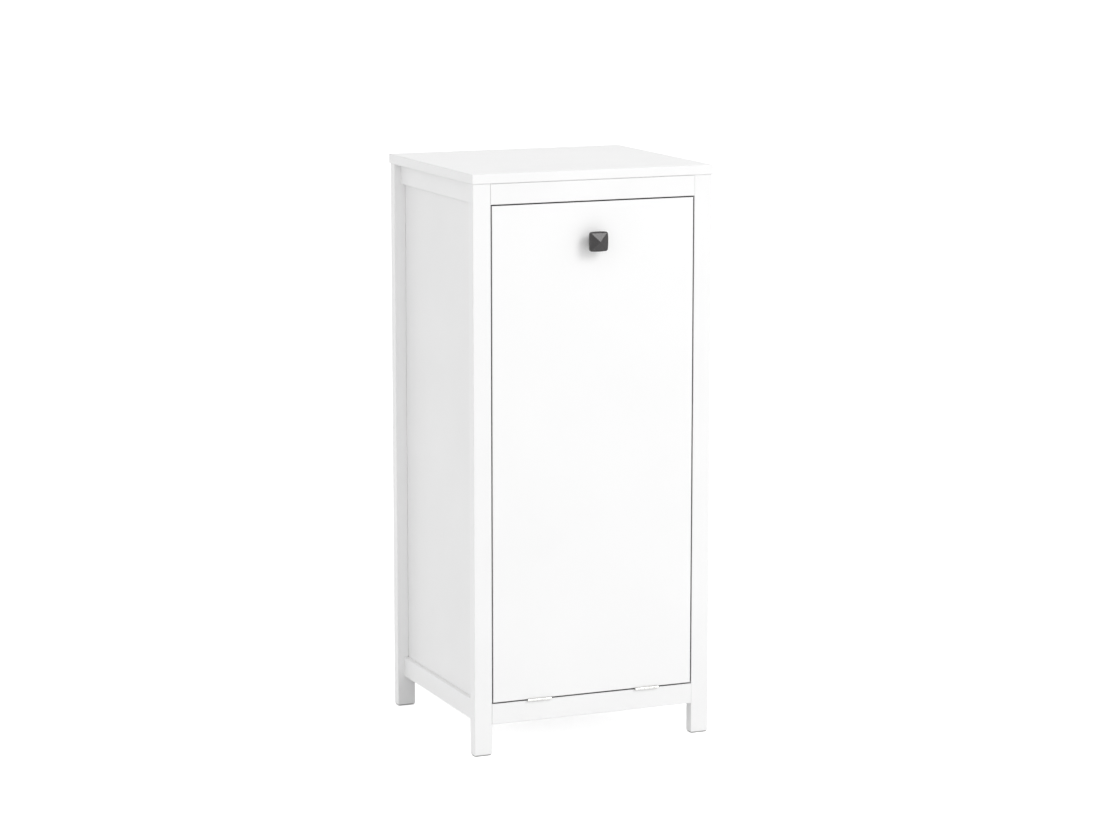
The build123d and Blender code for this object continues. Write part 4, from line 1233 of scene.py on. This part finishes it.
def bag_wall_mesh():
    """The walls and their sleeves as one sheet, with its own flat map in metres."""
    points = [tuple(point) for point in hung_walls.reshape(-1, 3)]
    faces = grid_faces(rows, columns)
    around = np.concatenate([[0], np.cumsum(np.linalg.norm(np.diff(walls[0], axis=0), axis=1))])
    round_length = around[-1] + np.linalg.norm(walls[0, 0] - walls[0, -1])
    flat_map = {}
    for row in range(rows + 1):
        for column in range(columns):
            flat_map[row * columns + column] = (around[column], bar_z - walls[row, column, 2])
    for span, normal in zip(sleeve_spans, side_normals):
        below = list(span)
        climbed = 0.0
        last = (-wire_gap, 0.0)
        for u, v in sleeve_path:
            climbed += math.hypot(u - last[0], v - last[1])
            last = (u, v)
            first = len(points)
            for column in span:
                place = bar_point(column, normal, u, v)
                wave = noise.noise(Vector((place[0] * pucker_waves[0], place[1] * pucker_waves[1],
                                           v * pucker_waves[2] + 3)))
                pucker = pucker_depth * max(0.0, wave)
                outer = min(1.0, max(0.0, (u + outer_face_from) / outer_face_blend))
                points.append(tuple(place + np.array(normal) * pucker * outer))
                flat_map[len(points) - 1] = (around[column], -climbed)
            for step in range(len(span) - 1):
                faces.append((below[step + 1], below[step], first + step, first + step + 1))
            below = list(range(first, first + len(span)))
    mesh = bpy.data.meshes.new("bag_walls")
    mesh.from_pydata(points, [], faces)
    flat = mesh.uv_layers.new(name="flat")
    for polygon in mesh.polygons:
        mapped = [flat_map[corner] for corner in polygon.vertices]
        wraps = max(u for u, v in mapped) - min(u for u, v in mapped) > round_length / 2
        for loop, (u, v) in zip(polygon.loop_indices, mapped):
            flat.data[loop].uv = (u + round_length if wraps and u < round_length / 2 else u, v)
    return mesh, round_length, climbed


def bag_base_mesh():
    """The base, a sheet with its own flat map in metres, moved by a metre to stay above nought."""
    wanted = sorted({corner for quad in base_faces for corner in quad})
    number = {corner: place for place, corner in enumerate(wanted)}
    mesh = bpy.data.meshes.new("bag_base")
    mesh.from_pydata([tuple(hung_points[corner]) for corner in wanted], [],
                     [tuple(number[corner] for corner in quad) for quad in base_faces])
    flat = mesh.uv_layers.new(name="flat")
    for loop in mesh.loops:
        x, y = all_points[wanted[loop.vertex_index]][:2]
        flat.data[loop.index].uv = (x + 1.0, y + 1.0)
    return mesh


def with_modifiers(name, mesh, *settings):
    """A mesh with modifiers applied to it."""
    carrier = bpy.data.objects.new(name + "_carrier", mesh)
    scene.collection.objects.link(carrier)
    for kind, values in settings:
        modifier = carrier.modifiers.new(kind.lower(), kind)
        for setting, value in values.items():
            setattr(modifier, setting, value)
    finished = bpy.data.meshes.new_from_object(carrier.evaluated_get(bpy.context.evaluated_depsgraph_get()))
    finished.name = name
    bpy.data.objects.remove(carrier)
    return finished


cloth_finish = [
    ("SUBSURF", {"levels": 1, "render_levels": 1}),
    ("SOLIDIFY", {"thickness": cloth_thickness, "offset": 0.0, "use_even_offset": False}),
]
wall_mesh, mouth_length, sleeve_cut = bag_wall_mesh()
bag_walls = new_piece("bag_walls", shade(with_modifiers("bag_walls", wall_mesh, *cloth_finish), 80),
                      "door", bag_cloth, "laundry_bag")
bag_base = new_piece("bag_base", shade(with_modifiers("bag_base", bag_base_mesh(), *cloth_finish), 80),
                     "door", bag_cloth, "laundry_bag")


def stitch_tree():
    """Stitches of thick thread, evenly spaced along the seams of its places."""
    tree, size = sized_tree("stitches", {
        "Pitch": "Float", "Stitch length": "Float", "Thread radius": "Float", "Finish": "Material",
    })
    seams = add(tree, "GeometryNodeMeshToCurve", {0: size["Places"]})
    spaced = add(tree, "GeometryNodeResampleCurve", {"Curve": seams.outputs[0], "Length": size["Pitch"]},
                 mode="LENGTH")
    along = add(tree, "FunctionNodeAlignRotationToVector", {
        "Vector": add(tree, "GeometryNodeInputTangent").outputs[0],
    }, axis="X")
    bead = add(tree, "GeometryNodeMeshUVSphere", {"Segments": 6, "Rings": 4, "Radius": 1.0})
    half = add(tree, "ShaderNodeMath", {0: size["Stitch length"], 1: 0.5}, operation="MULTIPLY").outputs[0]
    stretch = add(tree, "ShaderNodeCombineXYZ", {0: half, 1: size["Thread radius"], 2: size["Thread radius"]})
    laid = add(tree, "GeometryNodeInstanceOnPoints", {
        "Points": spaced.outputs[0], "Instance": bead.outputs[0], "Rotation": along.outputs[0],
        "Scale": stretch.outputs[0],
    })
    finish_tree(tree, laid.outputs[0], size["Finish"])
    return tree


def piping_tree():
    """A round bound edge along the seam of its places."""
    tree, size = sized_tree("piping", {"Radius": "Float", "Finish": "Material"})
    seam = add(tree, "GeometryNodeMeshToCurve", {0: size["Places"]})
    ring = add(tree, "GeometryNodeCurvePrimitiveCircle", {"Resolution": 10, "Radius": size["Radius"]})
    tube = add(tree, "GeometryNodeCurveToMesh", {"Curve": seam.outputs[0], "Profile Curve": ring.outputs[0]})
    finish_tree(tree, tube.outputs[0], size["Finish"])
    return tree


def seam_lines():
    """The bag's stitched lines: both faces of each hem, both sides of each corner, and round the foot."""
    lines = []
    face_gap = cloth_thickness / 2
    middle = np.array([0, mouth_middle_y, 0])
    for span, normal in zip(sleeve_spans, side_normals):
        for level in (hem_levels[0], hem_levels[2] + hem_margin):
            for u in (hem_offset + face_gap, -wire_gap - face_gap):
                lines.append([bar_point(column, normal, u, level) for column in span])
    corner_columns = [span[-1] + corner_steps // 2 for span in sleeve_spans]
    for column in corner_columns:
        for neighbour in (-1, 1):
            line = hung_walls[1:, (column + neighbour) % columns]
            away = (line - middle) * np.array([1, 1, 0])
            away /= np.linalg.norm(away, axis=1)[:, None]
            lines.append(list(line + away * face_gap))
            lines.append(list(line - away * face_gap))
    foot = list(hung_walls[rows - 1]) + [hung_walls[rows - 1, 0]]
    for side in (-1, 1):
        lines.append([point + side * face_gap * (point - middle) * np.array([1, 1, 0])
                      / np.linalg.norm((point - middle)[:2]) for point in foot])
    return lines


def line_places(lines):
    """The points and edges of several open lines."""
    points = []
    edges = []
    for line in lines:
        first = len(points)
        points.extend(line)
        edges.extend((first + step, first + step + 1) for step in range(len(line) - 1))
    return points, edges


stitch_points, stitch_edges = line_places(seam_lines())
stitch_mesh = grown("bag_stitches", stitch_tree(), stitch_points, stitch_edges, {
    "Pitch": 3.6 * mm, "Stitch length": 3.1 * mm, "Thread radius": 0.42 * mm, "Finish": seam_thread,
})
bag_stitches = new_piece("bag_stitches", shade(stitch_mesh, 80), "door",
                         seam_thread, "laundry_bag")
foot_points = list(hung_walls[-1])
foot_edges = [(step, (step + 1) % columns) for step in range(columns)]
piping_mesh = grown("bag_piping", piping_tree(), foot_points, foot_edges, {
    "Radius": 1.5 * mm, "Finish": seam_thread,
})
bag_piping = new_piece("bag_piping", shade(piping_mesh, 80), "door",
                       seam_thread, "laundry_bag")


# Floor: pale, a little shadow under the object, and white to the camera beyond it
floor_half = 40.0
floor_glow = 0.74
floor_tone = "#dedede"
floor_mesh = bpy.data.meshes.new("floor")
corners = [(-floor_half, -floor_half, 0), (floor_half, -floor_half, 0),
           (floor_half, floor_half, 0), (-floor_half, floor_half, 0)]
floor_mesh.from_pydata(corners, [], [(0, 1, 2, 3)])
floor = bpy.data.objects.new("floor", floor_mesh)
scene.collection.objects.link(floor)
floor_material, floor_tree = new_material("pale_floor")
floor_diffuse = add(floor_tree, "ShaderNodeBsdfDiffuse", {"Color": linear(floor_tone)})
floor_light = add(floor_tree, "ShaderNodeLightPath")
seen = add(floor_tree, "ShaderNodeMath", {
    0: floor_light.outputs["Is Camera Ray"], 1: floor_light.outputs["Is Glossy Ray"],
}, operation="MAXIMUM")
floor_strength = add(floor_tree, "ShaderNodeMath", {0: seen.outputs[0], 1: floor_glow}, operation="MULTIPLY")
floor_white = add(floor_tree, "ShaderNodeEmission", {
    "Color": (1.0, 1.0, 1.0, 1.0), "Strength": floor_strength.outputs[0],
})
floor_sum = add(floor_tree, "ShaderNodeAddShader", {0: floor_diffuse.outputs[0], 1: floor_white.outputs[0]})
add(floor_tree, "ShaderNodeOutputMaterial", {"Surface": floor_sum.outputs[0]})
dress(floor, floor_material)

# World: soft light all round on the object, plain white to the camera and in reflections
sky_horizon = 1.18
sky_zenith = 0.60
horizon_up_to = 0.1
zenith_from = 0.9
world = bpy.data.worlds.new("studio")
scene.world = world
world.use_nodes = True
world.node_tree.nodes.clear()
sky_rays = add(world.node_tree, "ShaderNodeLightPath")
seen_or_glossy = add(world.node_tree, "ShaderNodeMath", {
    0: sky_rays.outputs["Is Camera Ray"], 1: sky_rays.outputs["Is Glossy Ray"],
}, operation="MAXIMUM")
clear_view = add(world.node_tree, "ShaderNodeMath", {
    0: seen_or_glossy.outputs[0], 1: sky_rays.outputs["Is Transmission Ray"],
}, operation="MAXIMUM")
sky_place = add(world.node_tree, "ShaderNodeTexCoord").outputs["Generated"]
sky_height = add(world.node_tree, "ShaderNodeSeparateXYZ", {0: sky_place}).outputs[2]
sky_lit = add(world.node_tree, "ShaderNodeMapRange", {
    "Value": sky_height, "From Min": horizon_up_to, "From Max": zenith_from,
    "To Min": sky_horizon, "To Max": sky_zenith,
})
sky_level = add(world.node_tree, "ShaderNodeMix", {
    0: clear_view.outputs[0], 2: sky_lit.outputs[0], 3: 1.0,
}, data_type="FLOAT")
sky = add(world.node_tree, "ShaderNodeBackground", {
    "Color": (1.0, 1.0, 1.0, 1.0), "Strength": sky_level.outputs[0],
})
add(world.node_tree, "ShaderNodeOutputWorld", {"Surface": sky.outputs[0]})


def softbox(name, place, aim, width, height, power):
    """A rectangular studio light that faces a point of the object."""
    data = bpy.data.lights.new(name, "AREA")
    data.shape = "RECTANGLE"
    data.size = width
    data.size_y = height
    data.energy = power
    lamp = bpy.data.objects.new(name, data)
    lamp.location = place
    lamp.rotation_euler = (Vector(aim) - Vector(place)).to_track_quat("-Z", "Y").to_euler()
    scene.collection.objects.link(lamp)


softbox("front_right_softbox", place=(1.75, -3.3, 2.9), aim=(0.0, 0.0, 0.5),
        width=1.6, height=1.8, power=53.0)
